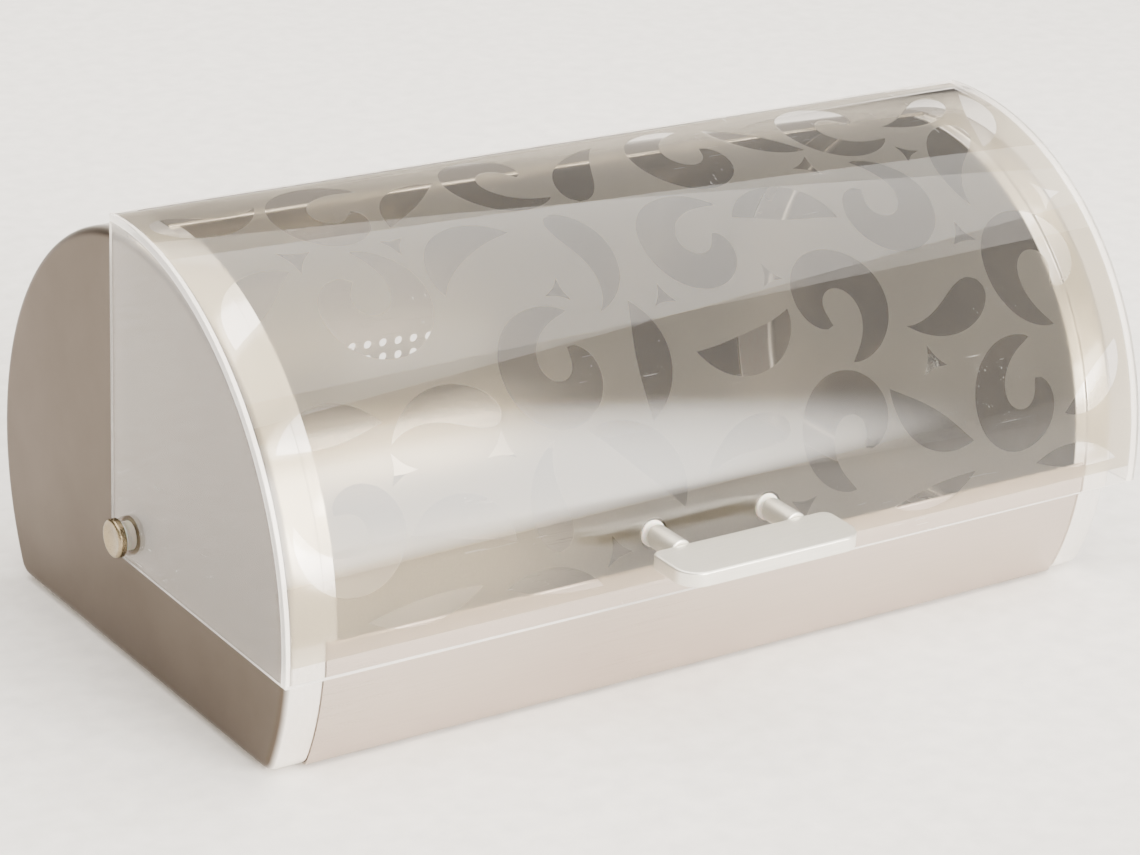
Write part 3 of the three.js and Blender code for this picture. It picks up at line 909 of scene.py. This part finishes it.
def forward_place(x, handle):
    """Turns what was made along +X to point forward at a handle post, about the axis."""
    point_forward = Matrix.Rotation(-math.pi / 2, 4, "Z")
    lift = Matrix.Translation((x, 0, handle.rise))
    return Matrix.Rotation(handle.droop, 4, "X") @ lift @ point_forward


def curved_cover(cover, handle):
    """The curved clear sheet with polished edges and two holes for the handle screws."""
    rear, front = cover_angles(cover)
    outer = cover.inner + ACRYLIC
    levels = edge_rounds(-SIDE_OUTER, SIDE_OUTER, cover.polish)
    outlines = [along_x(strip_section(cover.inner, outer, rear, front, inset), x) for x, inset in levels]
    sheet = loft("curved_cover", outlines)
    reach = (outer - CUT_THROUGH, outer + CUT_THROUGH)
    tools = [forward_tool(handle.stud + EASE, x, *reach, handle) for x in (HANDLE_LEFT, HANDLE_RIGHT)]
    combined(sheet, tools, "DIFFERENCE")

    def is_edge(polygon):
        outward = Vector((0, polygon.center.y, polygon.center.z)).normalized()
        return abs(polygon.normal.dot(outward)) < FACING

    return at_axis(mark_edges(sheet, is_edge))


def side_plate(cover, hardware):
    """The right side plate: a quarter disc whose inner corner is rounded about the pivot."""
    radius = cover.inner - cover.glue
    overhang = math.degrees(math.asin(cover.corner / radius))
    tilt = math.degrees(cover.tilt)

    def outline(inset):
        trim = math.degrees(inset / radius)
        rim = arc(radius - inset, overhang - tilt - trim, -90 - overhang - tilt + trim)
        corner = [on_arc(cover.corner - inset, 180 - tilt - CORNER_TURN * i) for i in range(13)]
        return rim + corner

    levels = edge_rounds(SIDE_INNER, SIDE_OUTER, cover.polish)
    plate = loft("right_side", [along_x(outline(inset), x) for x, inset in levels])
    tool = rod("tool", hardware.hole, SIDE_INNER - CUT_BEYOND, SIDE_OUTER + CUT_BEYOND)
    combined(plate, [tool], "DIFFERENCE")
    return at_axis(mark_edges(plate, lambda polygon: abs(polygon.normal.x) < FACING))


# ---- Scrollwork of the film ---------------------------------------------------------------------

MM = 0.001
SWELL = {"hook": (0.8, 0.6), "drop": (0.5, 1.2), "leaf": (1.0, 1.0)}

# Windows in the film, in millimetres on the unrolled sheet: middle along the box, middle down from the
# top, heading in degrees, length, turn in degrees, tightening of the turn, width, shape.
STROKES = [
    (-167, 14, 44, 48, -100, 0.3, 16, "drop"),
    (-124, 19, 215, 85, -320, 0.5, 16, "hook"),
    (-88, 22, -62, 42, 50, 0.0, 13, "leaf"),
    (-51, 17, 160, 81, 310, 0.5, 14, "hook"),
    (-11, 20, -75, 48, 48, 0.0, 16, "drop"),
    (33, 20, 185, 87, -315, 0.5, 17, "hook"),
    (73, 16, 62, 43, -40, 0.0, 12, "leaf"),
    (108, 18, 150, 83, 320, 0.5, 16, "hook"),
    (152, 16, 130, 45, 60, 0.2, 15, "drop"),
    (178, 26, 95, 45, 40, 0.0, 12, "leaf"),
    (-171, 62, -70, 48, 60, 0.0, 16, "leaf"),
    (-129, 68, 30, 93, 335, 0.5, 18, "hook"),
    (-82, 56, 200, 54, -110, 0.2, 15, "leaf"),
    (-35, 66, 40, 53, 110, 0.3, 16, "drop"),
    (9, 66, 210, 89, -330, 0.5, 17, "hook"),
    (56, 58, -25, 50, 75, 0.1, 18, "leaf"),
    (104, 65, 20, 89, 330, 0.5, 17, "hook"),
    (152, 52, 160, 54, -90, 0.3, 17, "drop"),
    (-166, 111, -30, 45, 50, 0.0, 15, "leaf"),
    (-120, 114, 225, 52, -100, 0.2, 15, "drop"),
    (-72, 106, 190, 91, -340, 0.5, 18, "hook"),
    (-28, 110, 75, 48, 45, 0.0, 15, "leaf"),
    (14, 113, 30, 52, -90, 0.2, 16, "leaf"),
    (62, 104, 340, 87, -325, 0.5, 17, "hook"),
    (109, 114, 130, 45, 70, 0.2, 16, "drop"),
    (156, 104, 200, 93, 330, 0.5, 18, "hook"),
    (-166, 152, 85, 83, -320, 0.5, 16, "hook"),
    (-121, 154, -25, 48, 80, 0.1, 16, "leaf"),
    (-84, 152, 230, 43, 90, 0.3, 15, "drop"),
    (-44, 148, 10, 54, 70, 0.1, 16, "leaf"),
    (4, 148, 200, 45, -70, 0.0, 13, "drop"),
    (50, 152, 200, 85, 320, 0.5, 17, "hook"),
    (92, 154, 60, 48, -50, 0.0, 15, "leaf"),
    (133, 152, 180, 85, -320, 0.5, 17, "hook"),
    (173, 152, 110, 41, 60, 0.0, 13, "leaf"),
    (-138, 182, 8, 48, -26, 0.0, 10, "leaf"),
    (-84, 183, -5, 43, 30, 0.0, 10, "leaf"),
    (92, 184, 5, 41, -30, 0.0, 9, "leaf"),
    (164, 182, -5, 43, 25, 0.0, 10, "leaf"),
]

# Small three-cornered windows between the strokes: middle along, middle down, size, turn in degrees.
SPANDRELS = [
    (-148, 43, 8, 100), (-56, 78, 6, 50), (82, 40, 7, 60), (130, 86, 7, 30), (-108, 44, 6, 90),
    (131, 42, 6, 0), (-142, 131, 7, 10), (28, 177, 7, 90), (35, 88, 6, 20),
    (180, 75, 8, 0), (-100, 131, 7, 40), (96, 133, 7, 20), (-14, 88, 6, 30), (-57, 177, 7, 10),
]


def stroke(middle_x, middle_y, heading, length_along, turn, tighten, width, shape):
    """Outline of a pen stroke that swells and thins while it turns ever tighter."""
    steps = 40
    rise, fall = SWELL[shape]
    peak = (rise / (rise + fall)) ** rise * (fall / (rise + fall)) ** fall
    left, right = [], []
    x = y = 0.0
    way = math.radians(heading)
    for i in range(steps + 1):
        t = i / steps
        half = width / 2 * t**rise * (1 - t) ** fall / peak
        left.append((x - math.sin(way) * half, y + math.cos(way) * half))
        right.append((x + math.sin(way) * half, y - math.cos(way) * half))
        bend = math.radians(turn) / steps * (1 + tighten * (2 * t - 1))
        x += length_along / steps * math.cos(way + bend / 2)
        y += length_along / steps * math.sin(way + bend / 2)
        way += bend
    outline = left + right[-2:0:-1]
    across, down = zip(*outline)
    shift_x = middle_x - (min(across) + max(across)) / 2
    shift_y = middle_y - (min(down) + max(down)) / 2
    return [(a + shift_x, b + shift_y) for a, b in outline]


def spandrel(middle_x, middle_y, size, turn):
    """Outline with three points and hollow sides."""
    pull = 0.28
    steps = 8
    turns = [math.radians(turn + 120 * k) for k in range(3)]
    tips = [(size * math.cos(t), size * math.sin(t)) for t in turns]
    outline = []
    for k, (x, y) in enumerate(tips):
        far_x, far_y = tips[(k + 1) % 3]
        for t in (i / steps for i in range(steps)):
            hollow = 1 - pull * 4 * t * (1 - t)
            outline.append((middle_x + (x + (far_x - x) * t) * hollow,
                            middle_y + (y + (far_y - y) * t) * hollow))
    return outline


def flat_film(half_width, rear, front, holes, thickness):
    """The film on the flat, as a filled curve with its windows left open, made a mesh."""
    curve = bpy.data.curves.new("film_flat", "CURVE")
    curve.dimensions = "2D"
    curve.fill_mode = "BOTH"
    curve.extrude = thickness / 2
    frame_line = [(-half_width, rear), (half_width, rear), (half_width, front), (-half_width, front)]
    windows = [stroke(*row) for row in STROKES] + [spandrel(*row) for row in SPANDRELS]
    windows = [[(x * MM, y * MM) for x, y in window] for window in windows]
    for outline in [frame_line, *windows, *holes]:
        spline = curve.splines.new("POLY")
        spline.points.add(len(outline) - 1)
        for point, (x, y) in zip(spline.points, outline):
            point.co = (x, y, 0, 1)
        spline.use_cyclic_u = True
    flat = linked("film_flat", curve)
    bpy.context.view_layer.update()
    graph = bpy.context.evaluated_depsgraph_get()
    mesh = bpy.data.meshes.new_from_object(flat.evaluated_get(graph))
    bpy.data.objects.remove(flat)
    return mesh


def scroll_film(cover, handle):
    """The frosted film with its scrollwork windows, wrapped inside the curved sheet."""
    rear_angle, front_angle = cover_angles(cover)
    radius = cover.inner - SEAM - cover.film / 2
    tilt = math.degrees(cover.tilt)
    along_arc = math.radians(1) * radius
    rear = -(rear_angle + tilt) * along_arc + cover.film_rear
    front = -(front_angle + tilt) * along_arc - cover.film_lower
    post_angle = 90 - math.degrees(math.asin(handle.rise / radius) - handle.droop + cover.tilt)
    post_down = post_angle * along_arc
    circle = [math.radians(10 * i) for i in range(36)]
    holes = [
        [(x + cover.post_hole * math.cos(t), post_down + cover.post_hole * math.sin(t)) for t in circle]
        for x in (HANDLE_LEFT, HANDLE_RIGHT)
    ]
    mesh = flat_film(SIDE_INNER - EASE, rear, front, holes, cover.film)
    work = bmesh.new()
    work.from_mesh(mesh)
    bmesh.ops.remove_doubles(work, verts=work.verts, dist=DOUBLES)
    pleats = math.ceil((front - rear) / PLEAT)
    for i in range(1, pleats):
        down = rear + (front - rear) * i / pleats
        everything = work.verts[:] + work.edges[:] + work.faces[:]
        bmesh.ops.bisect_plane(work, geom=everything, plane_co=(0, down, 0), plane_no=(0, 1, 0),
                               dist=DOUBLES / 10)
    for vertex in work.verts:
        turn = -vertex.co.y / radius - cover.tilt
        reach = radius + vertex.co.z
        vertex.co = (vertex.co.x, reach * math.sin(turn), reach * math.cos(turn))
    bmesh.ops.recalc_face_normals(work, faces=work.faces)
    work.to_mesh(mesh)
    work.free()
    return at_axis(linked("scroll_film", mesh))


# ---- Handle -------------------------------------------------------------------------------------


def handle_lines(cover, handle):
    """Distances in front of the axis, on a post's line: post seat, post end."""
    seat = math.sqrt((cover.inner + ACRYLIC + SEAM) ** 2 - handle.rise**2)
    return seat, seat + handle.post_length


def handle_bar(cover, handle):
    """Flat bar with large front corners, small back corners and softly rounded edges."""
    _, back = handle_lines(cover, handle)
    start = -back - SEAM
    stop = start - handle.depth
    half = handle.length / 2
    middle_x = (HANDLE_LEFT + HANDLE_RIGHT) / 2

    def outline(inset):
        reach = half - inset
        rear_round = handle.back_corner - inset
        front_round = handle.front_corner - inset
        corners = [
            (-reach, start - inset, rear_round), (reach, start - inset, rear_round),
            (reach, stop + inset, front_round), (-reach, stop + inset, front_round),
        ]
        return round_corners(corners, 10)

    under = handle.rise - handle.thickness / 2
    levels = edge_rounds(under, under + handle.thickness, handle.bevel, 4)
    bar = loft("handle_bar", [[(middle_x + x, y, z) for x, y in outline(inset)] for z, inset in levels])
    moved(bar, Matrix.Rotation(handle.droop, 4, "X"))
    stud_hole_depth = 0.0075
    reach = (back - CUT_BEYOND / 2, back + stud_hole_depth)
    tools = [forward_tool(handle.stud + NICK, x, *reach, handle) for x in (HANDLE_LEFT, HANDLE_RIGHT)]
    return at_axis(combined(bar, tools, "DIFFERENCE"))


def saddled(name, levels, pipe_radius, rise):
    """A round piece pointing along +X whose marked rings lie on a pipe about the axis."""
    points = []
    for place, radius, on_pipe in levels:
        for k in range(ROUND_STEPS):
            turn = math.tau * k / ROUND_STEPS
            side = radius * math.cos(turn)
            up = radius * math.sin(turn)
            x = math.sqrt(pipe_radius**2 - (rise + up) ** 2) + place if on_pipe else place
            points.append((x, side, up))
    return new_piece(name, points, ring_faces([radius for _, radius, _ in levels], ROUND_STEPS))


def handle_post(cover, handle):
    """Round post, hollowed to the cover at one end, with a stud for the bar and a blind screw hole."""
    seat, end = handle_lines(cover, handle)
    bore = handle.stud + NICK
    bore_end = seat + 0.0083
    stud_end = end + 0.007
    rounding = 0.0006
    radius = handle.post
    return saddled("handle_posts", [
        (bore_end, 0, False), (bore_end, bore, False), (0, bore, True), (0, radius - EASE, True),
        (EASE, radius, True), (end - CHAMFER, radius, False), (end - SEAM, radius - EASE, False),
        (end, radius - rounding, False), (end, handle.stud, False), (stud_end - CHAMFER, handle.stud, False),
        (stud_end, handle.stud - CHAMFER, False), (stud_end, 0, False),
    ], cover.inner + ACRYLIC + SEAM, handle.rise)


def handle_washer(cover, handle):
    """Nylon washer, flat under the screw head and saddled to the cover."""
    face = AXIS.y - high("left_handle_washer").y
    bore = handle.stud + NICK
    radius = handle.washer
    return saddled("handle_washers", [
        (face, bore, False), (face, radius - EASE, False), (face + EASE, radius, False),
        (-NICK, radius, True), (0, radius - NICK, True), (0, bore, True),
    ], cover.inner - SEAM, handle.rise)


def handle_screw(handle):
    """Pan-head screw with a cross recess."""
    node_low, node_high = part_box("left_handle_screw")
    head = AXIS.y - node_high.y
    end = AXIS.y - node_low.y
    face = AXIS.y - high("left_handle_washer").y - EASE
    radius = handle.screw_head
    crown = 0.0013
    turns = [math.radians(15 * i) for i in range(7)]
    pan = [(head + crown * (1 - math.cos(turn)), (radius - crown) + crown * math.sin(turn)) for turn in turns]
    screw = lathe("handle_screws", [
        (head, 0), *pan, (face - SEAM, radius), (face, radius - SEAM), (face, handle.stud),
        (end - CHAMFER, handle.stud), (end, handle.stud - CHAMFER), (end, 0),
    ])
    half_slot = 0.0024
    half_width = 0.00045
    slot_depth = 0.0012
    slot_top = head - 0.0005
    cross_turn = 0.3
    tools = []
    for turn in (0, math.pi / 2):
        corners = [(-half_slot, -half_width), (half_slot, -half_width), (half_slot, half_width),
                   (-half_slot, half_width)]
        near = [(slot_top, y, z) for y, z in corners]
        deep = [(head + slot_depth, y * 0.35, z * 0.7) for y, z in corners]
        tools.append(moved(loft("tool", [near, deep]), Matrix.Rotation(turn + cross_turn, 4, "X")))
    return combined(screw, tools, "DIFFERENCE")


def pair_of_posts(piece, handle, material):
    """The piece at the left post and its copy at the right."""
    moved(piece, forward_place(0, handle))
    start = AXIS + Vector((HANDLE_LEFT, 0, 0))
    step = Vector((HANDLE_RIGHT - HANDLE_LEFT, 0, 0))
    return grown(piece, row_of_copies(), count=2, start=start, step=step, material=material)


# ---- Stage --------------------------------------------------------------------------------------


def softbox(name, place, target, size, energy, tint):
    """A rectangular area lamp aimed at a target."""
    lamp = bpy.data.lights.new(name, "AREA")
    lamp.shape = "RECTANGLE"
    lamp.size, lamp.size_y = size
    lamp.energy = energy
    lamp.color = tint
    holder = linked(name, lamp)
    holder.location = place
    aim = Vector(target) - Vector(place)
    holder.rotation_euler = aim.to_track_quat("-Z", "Y").to_euler()


def window(tree, value, middle, reach, fade):
    """1 within a reach either side of a middle value, fading to 0 beyond it."""
    distance = sums(tree, "ABSOLUTE", sums(tree, "SUBTRACT", value, middle), 0)
    inside = add(tree, "ShaderNodeMapRange", {
        "interpolation_type": "SMOOTHSTEP", "From Min": reach, "From Max": reach + fade, "To Min": 1.0,
        "To Max": 0.0,
    }, Value=distance)
    return inside.outputs[0]


def studio_world():
    """Warm-white surroundings: bright to the front right, dim behind on the left, with a low light bank."""
    brightest_way = (0.5, -0.84, 0.2)
    dim = (0.17, 0.14, 0.11, 1)
    bright = (1.0, 0.95, 0.875, 1)
    world = bpy.data.worlds.new("studio")
    world.use_nodes = True
    tree = world.node_tree
    back = tree.nodes["Background"]
    way = tree.nodes.new("ShaderNodeTexCoord").outputs["Generated"]
    lit = add(tree, "ShaderNodeVectorMath", {"operation": "DOT_PRODUCT"})
    tree.links.new(way, lit.inputs[0])
    lit.inputs[1].default_value = brightest_way
    side = add(tree, "ShaderNodeMapRange", {"From Min": -0.8, "From Max": 0.85, "To Min": 0.0, "To Max": 1.0},
               Value=lit.outputs["Value"])
    ramp = tree.nodes.new("ShaderNodeValToRGB")
    for stop, shade in zip(ramp.color_ramp.elements, (dim, bright)):
        stop.color = shade
    tree.links.new(side.outputs[0], ramp.inputs[0])
    tree.links.new(ramp.outputs[0], back.inputs["Color"])

    axes = add(tree, "ShaderNodeSeparateXYZ", Vector=way).outputs
    ahead = sums(tree, "MULTIPLY", axes["Y"], -1.0)
    bearing = sums(tree, "ARCTAN2", axes["X"], ahead)
    across = window(tree, bearing, math.radians(17), math.radians(16), math.radians(6))
    up = window(tree, axes["Z"], middle=0.28, reach=0.2, fade=0.12)
    bank = sums(tree, "MULTIPLY", across, up)
    strength = add(tree, "ShaderNodeMapRange", {"To Min": 1.75, "To Max": 28.0}, Value=bank)
    tree.links.new(strength.outputs[0], back.inputs["Strength"])
    bpy.context.scene.world = world


def studio_camera():
    """Camera to the left of the front, a little above, with its small roll."""
    place = (-0.70476, -1.00980, 0.55226)
    yaw = math.radians(34.41)
    pitch = math.radians(-21.36)
    roll = math.radians(2.04)
    forward = Vector((math.sin(yaw) * math.cos(pitch), math.cos(yaw) * math.cos(pitch), math.sin(pitch)))
    right = Vector((math.cos(yaw), -math.sin(yaw), 0))
    up = right.cross(forward)
    right_rolled = math.cos(roll) * right + math.sin(roll) * up
    up_rolled = math.cos(roll) * up - math.sin(roll) * right
    data = bpy.data.cameras.new("camera")
    data.lens = 106.16
    data.sensor_width = 36
    camera = linked("camera", data)
    turn = Matrix((right_rolled, up_rolled, -forward)).transposed().to_4x4()
    camera.matrix_world = Matrix.Translation(place) @ turn
    bpy.context.scene.camera = camera


# ---- Operators ----------------------------------------------------------------------------------


def settings(context):
    """The bread box's settings in the scene."""
    return context.scene.bread_box


class BREADBOX_OT_stage(bpy.types.Operator):
    """Pale floor, soft lamps, surroundings and camera"""

    bl_idname = "breadbox.stage"
    bl_label = "Stage"

    def execute(self, context):
        look = moulded("studio_floor", settings(context).finishes.backdrop, 0.9, 0.01, 0.0001)
        reach = 6.0
        corners = [(-reach, -reach, 0), (reach, -reach, 0), (reach, reach, 0), (-reach, reach, 0)]
        ground = new_piece("studio_floor", corners, [[0, 1, 2, 3]])
        ground.data.materials.append(look)
        softbox("overhead_softbox", place=(0.1, 0.1, 1.9), target=(0, 0, 0.08), size=(3.2, 2.6), energy=100,
                tint=(1.0, 0.955, 0.89))
        studio_world()
        studio_camera()
        return {"FINISHED"}


class BREADBOX_OT_end_panels(bpy.types.Operator):
    """Left and right pressed-steel end panels"""

    bl_idname = "breadbox.end_panels"
    bl_label = "End panels"

    def execute(self, context):
        s = settings(context)
        look = end_steel(s.finishes)
        right = at_axis(end_panel(s.box, s.hardware))
        right.name = "right_end"
        left = mirrored(right, "left_end")
        finished(right, "box", "end_steel", look, "right_end_panel", crease=38)
        finished(left, "box", "end_steel", look, "left_end_panel", crease=38)
        return {"FINISHED"}


class BREADBOX_OT_rear_shell(bpy.types.Operator):
    """Roof and rear wall with punched vents"""

    bl_idname = "breadbox.rear_shell"
    bl_label = "Rear shell"

    def execute(self, context):
        s = settings(context)
        # The shell's darker colour is painted shade for the dim inside of the box.
        look = brushed_steel("brushed_shell_steel", s.finishes.shell, 0.17)
        finished(rear_shell(s.box, look), "box", "panel_steel", look, "rear_shell")
        return {"FINISHED"}


class BREADBOX_OT_front_panel(bpy.types.Operator):
    """Low front panel with its hemmed edge"""

    bl_idname = "breadbox.front_panel"
    bl_label = "Front panel"

    def execute(self, context):
        s = settings(context)
        look = brushed_steel("brushed_front_steel", s.finishes.panel, 0.3)
        finished(front_panel(s.box), "box", "panel_steel", look, "front_panel")
        return {"FINISHED"}


class BREADBOX_OT_floor_panel(bpy.types.Operator):
    """Finish of the flat floor panel, whose frame shape stays"""

    bl_idname = "breadbox.floor_panel"
    bl_label = "Floor panel"

    def execute(self, context):
        look = brushed_steel("brushed_floor_steel", settings(context).finishes.floor_steel, 0.3)
        mesh = frame["nodes"]["floor_panel"].data
        mesh.materials.clear()
        mesh.materials.append(look)
        return {"FINISHED"}


class BREADBOX_OT_feet(bpy.types.Operator):
    """Four rubber feet under the floor"""

    bl_idname = "breadbox.feet"
    bl_label = "Feet"

    def execute(self, context):
        s = settings(context)
        look = moulded("foot_rubber", s.finishes.rubber, 0.75, 0.0004, 0.00005)
        corners = [sum(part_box(node), Vector()) / 2 for node in ("foot_front_left", "foot_rear_right")]
        middle = (corners[0] + corners[1]) / 2
        middle.z = low("foot_front_left").z
        spread = corners[1] - corners[0]
        feet = grown(foot(s.hardware), grid_of_copies(), columns=2, rows=2, width=spread.x, depth=spread.y,
                     middle=middle, material=look)
        nodes = ["foot_front_left", "foot_front_right", "foot_rear_left", "foot_rear_right"]
        finished(feet, "box", "foot_rubber", look, *nodes)
        return {"FINISHED"}


class BREADBOX_OT_pivots(bpy.types.Operator):
    """Screws, washers, bushes and cap nuts of both pivots"""

    bl_idname = "breadbox.pivots"
    bl_label = "Pivots"

    def execute(self, context):
        s = settings(context)
        champagne = turned_metal("champagne_nickel", s.finishes.champagne, 0.24)
        bright = turned_metal("bright_steel", s.finishes.bright, 0.26)
        nylon = moulded("nylon", s.finishes.nylon, 0.45, 0.0006, 0.00002, translucent=0.3)
        hole = s.hardware.hole
        screws = pair_of_ends(pivot_screw(s.hardware), champagne)
        finished(screws, "box", "champagne_nickel", champagne, "left_pivot_screw", "right_pivot_screw")
        nuts = pair_of_ends(cap_nut(s.hardware), bright)
        finished(nuts, "box", "bright_steel", bright, "left_cap_nut", "right_cap_nut")
        rings = [
            ("outer_washer", s.hardware.washer, nylon, "nylon"),
            ("spacer_bush", s.hardware.bush, nylon, "nylon"),
            ("inner_washer", s.hardware.washer, bright, "bright_steel"),
        ]
        for node, radius, look, slot in rings:
            node_low, node_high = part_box(f"right_{node}")
            profile = ring_profile(hole, radius, node_low.x, node_high.x, s.hardware.ring_edge)
            ring = pair_of_ends(lathe(f"{node}_pair", profile), look)
            finished(ring, "box", slot, look, f"left_{node}", f"right_{node}")
        return {"FINISHED"}


class BREADBOX_OT_cover(bpy.types.Operator):
    """Curved clear sheet and its two side plates"""

    bl_idname = "breadbox.cover"
    bl_label = "Cover"

    def execute(self, context):
        s = settings(context)
        look = clear_acrylic(s.finishes)
        finished(curved_cover(s.cover, s.handle), "cover", "clear_acrylic", look, "cover_sheet")
        right = side_plate(s.cover, s.hardware)
        left = mirrored(right, "left_side")
        finished(right, "cover", "clear_acrylic", look, "right_cover_side")
        finished(left, "cover", "clear_acrylic", look, "left_cover_side")
        return {"FINISHED"}


class BREADBOX_OT_film(bpy.types.Operator):
    """Frosted film with scrollwork windows"""

    bl_idname = "breadbox.film"
    bl_label = "Frosted film"

    def execute(self, context):
        s = settings(context)
        look = frosted_film(s.finishes)
        finished(scroll_film(s.cover, s.handle), "cover", "frosted_film", look, "frosted_film")
        return {"FINISHED"}


class BREADBOX_OT_handle(bpy.types.Operator):
    """Handle bar, posts, screws and washers"""

    bl_idname = "breadbox.handle"
    bl_label = "Handle"

    def execute(self, context):
        s = settings(context)
        aluminium = satin_aluminium(s.finishes)
        steel = turned_metal("handle_screw_steel", s.finishes.bright, 0.26)
        nylon = moulded("washer_nylon", s.finishes.nylon, 0.45, 0.0006, 0.00002, translucent=0.3)
        finished(handle_bar(s.cover, s.handle), "cover", "satin_aluminium", aluminium, "handle_plate")
        fittings = [
            (handle_post(s.cover, s.handle), "satin_aluminium", aluminium, "handle_post"),
            (handle_screw(s.handle), "bright_steel", steel, "handle_screw"),
            (handle_washer(s.cover, s.handle), "nylon", nylon, "handle_washer"),
        ]
        for piece, slot, look, node in fittings:
            both = pair_of_posts(piece, s.handle, look)
            finished(both, "cover", slot, look, f"left_{node}", f"right_{node}")
        return {"FINISHED"}


class BREADBOX_PT_pieces(bpy.types.Panel):
    """Lists the bread box's pieces"""

    bl_idname = "BREADBOX_PT_pieces"
    bl_label = "Bread Box"
    bl_space_type = "VIEW_3D"
    bl_region_type = "UI"
    bl_category = "Bread Box"

    def draw(self, context):
        for step in STEPS:
            self.layout.operator(step.bl_idname)


STEPS = [
    BREADBOX_OT_stage,
    BREADBOX_OT_end_panels,
    BREADBOX_OT_rear_shell,
    BREADBOX_OT_front_panel,
    BREADBOX_OT_floor_panel,
    BREADBOX_OT_feet,
    BREADBOX_OT_pivots,
    BREADBOX_OT_cover,
    BREADBOX_OT_film,
    BREADBOX_OT_handle,
]
GROUPS = [BoxSizes, HardwareSizes, CoverSizes, HandleSizes, Finishes, BreadBoxSettings]


def register():
    for kind in [*GROUPS, *STEPS, BREADBOX_PT_pieces]:
        bpy.utils.register_class(kind)
    bpy.types.Scene.bread_box = PointerProperty(type=BreadBoxSettings)


def unregister():
    del bpy.types.Scene.bread_box
    for kind in reversed([*GROUPS, *STEPS, BREADBOX_PT_pieces]):
        bpy.utils.unregister_class(kind)


def main():
    register()
    for step in STEPS:
        group, name = step.bl_idname.split(".")
        getattr(getattr(bpy.ops, group), name)()


if __name__ == "__main__":
    main()
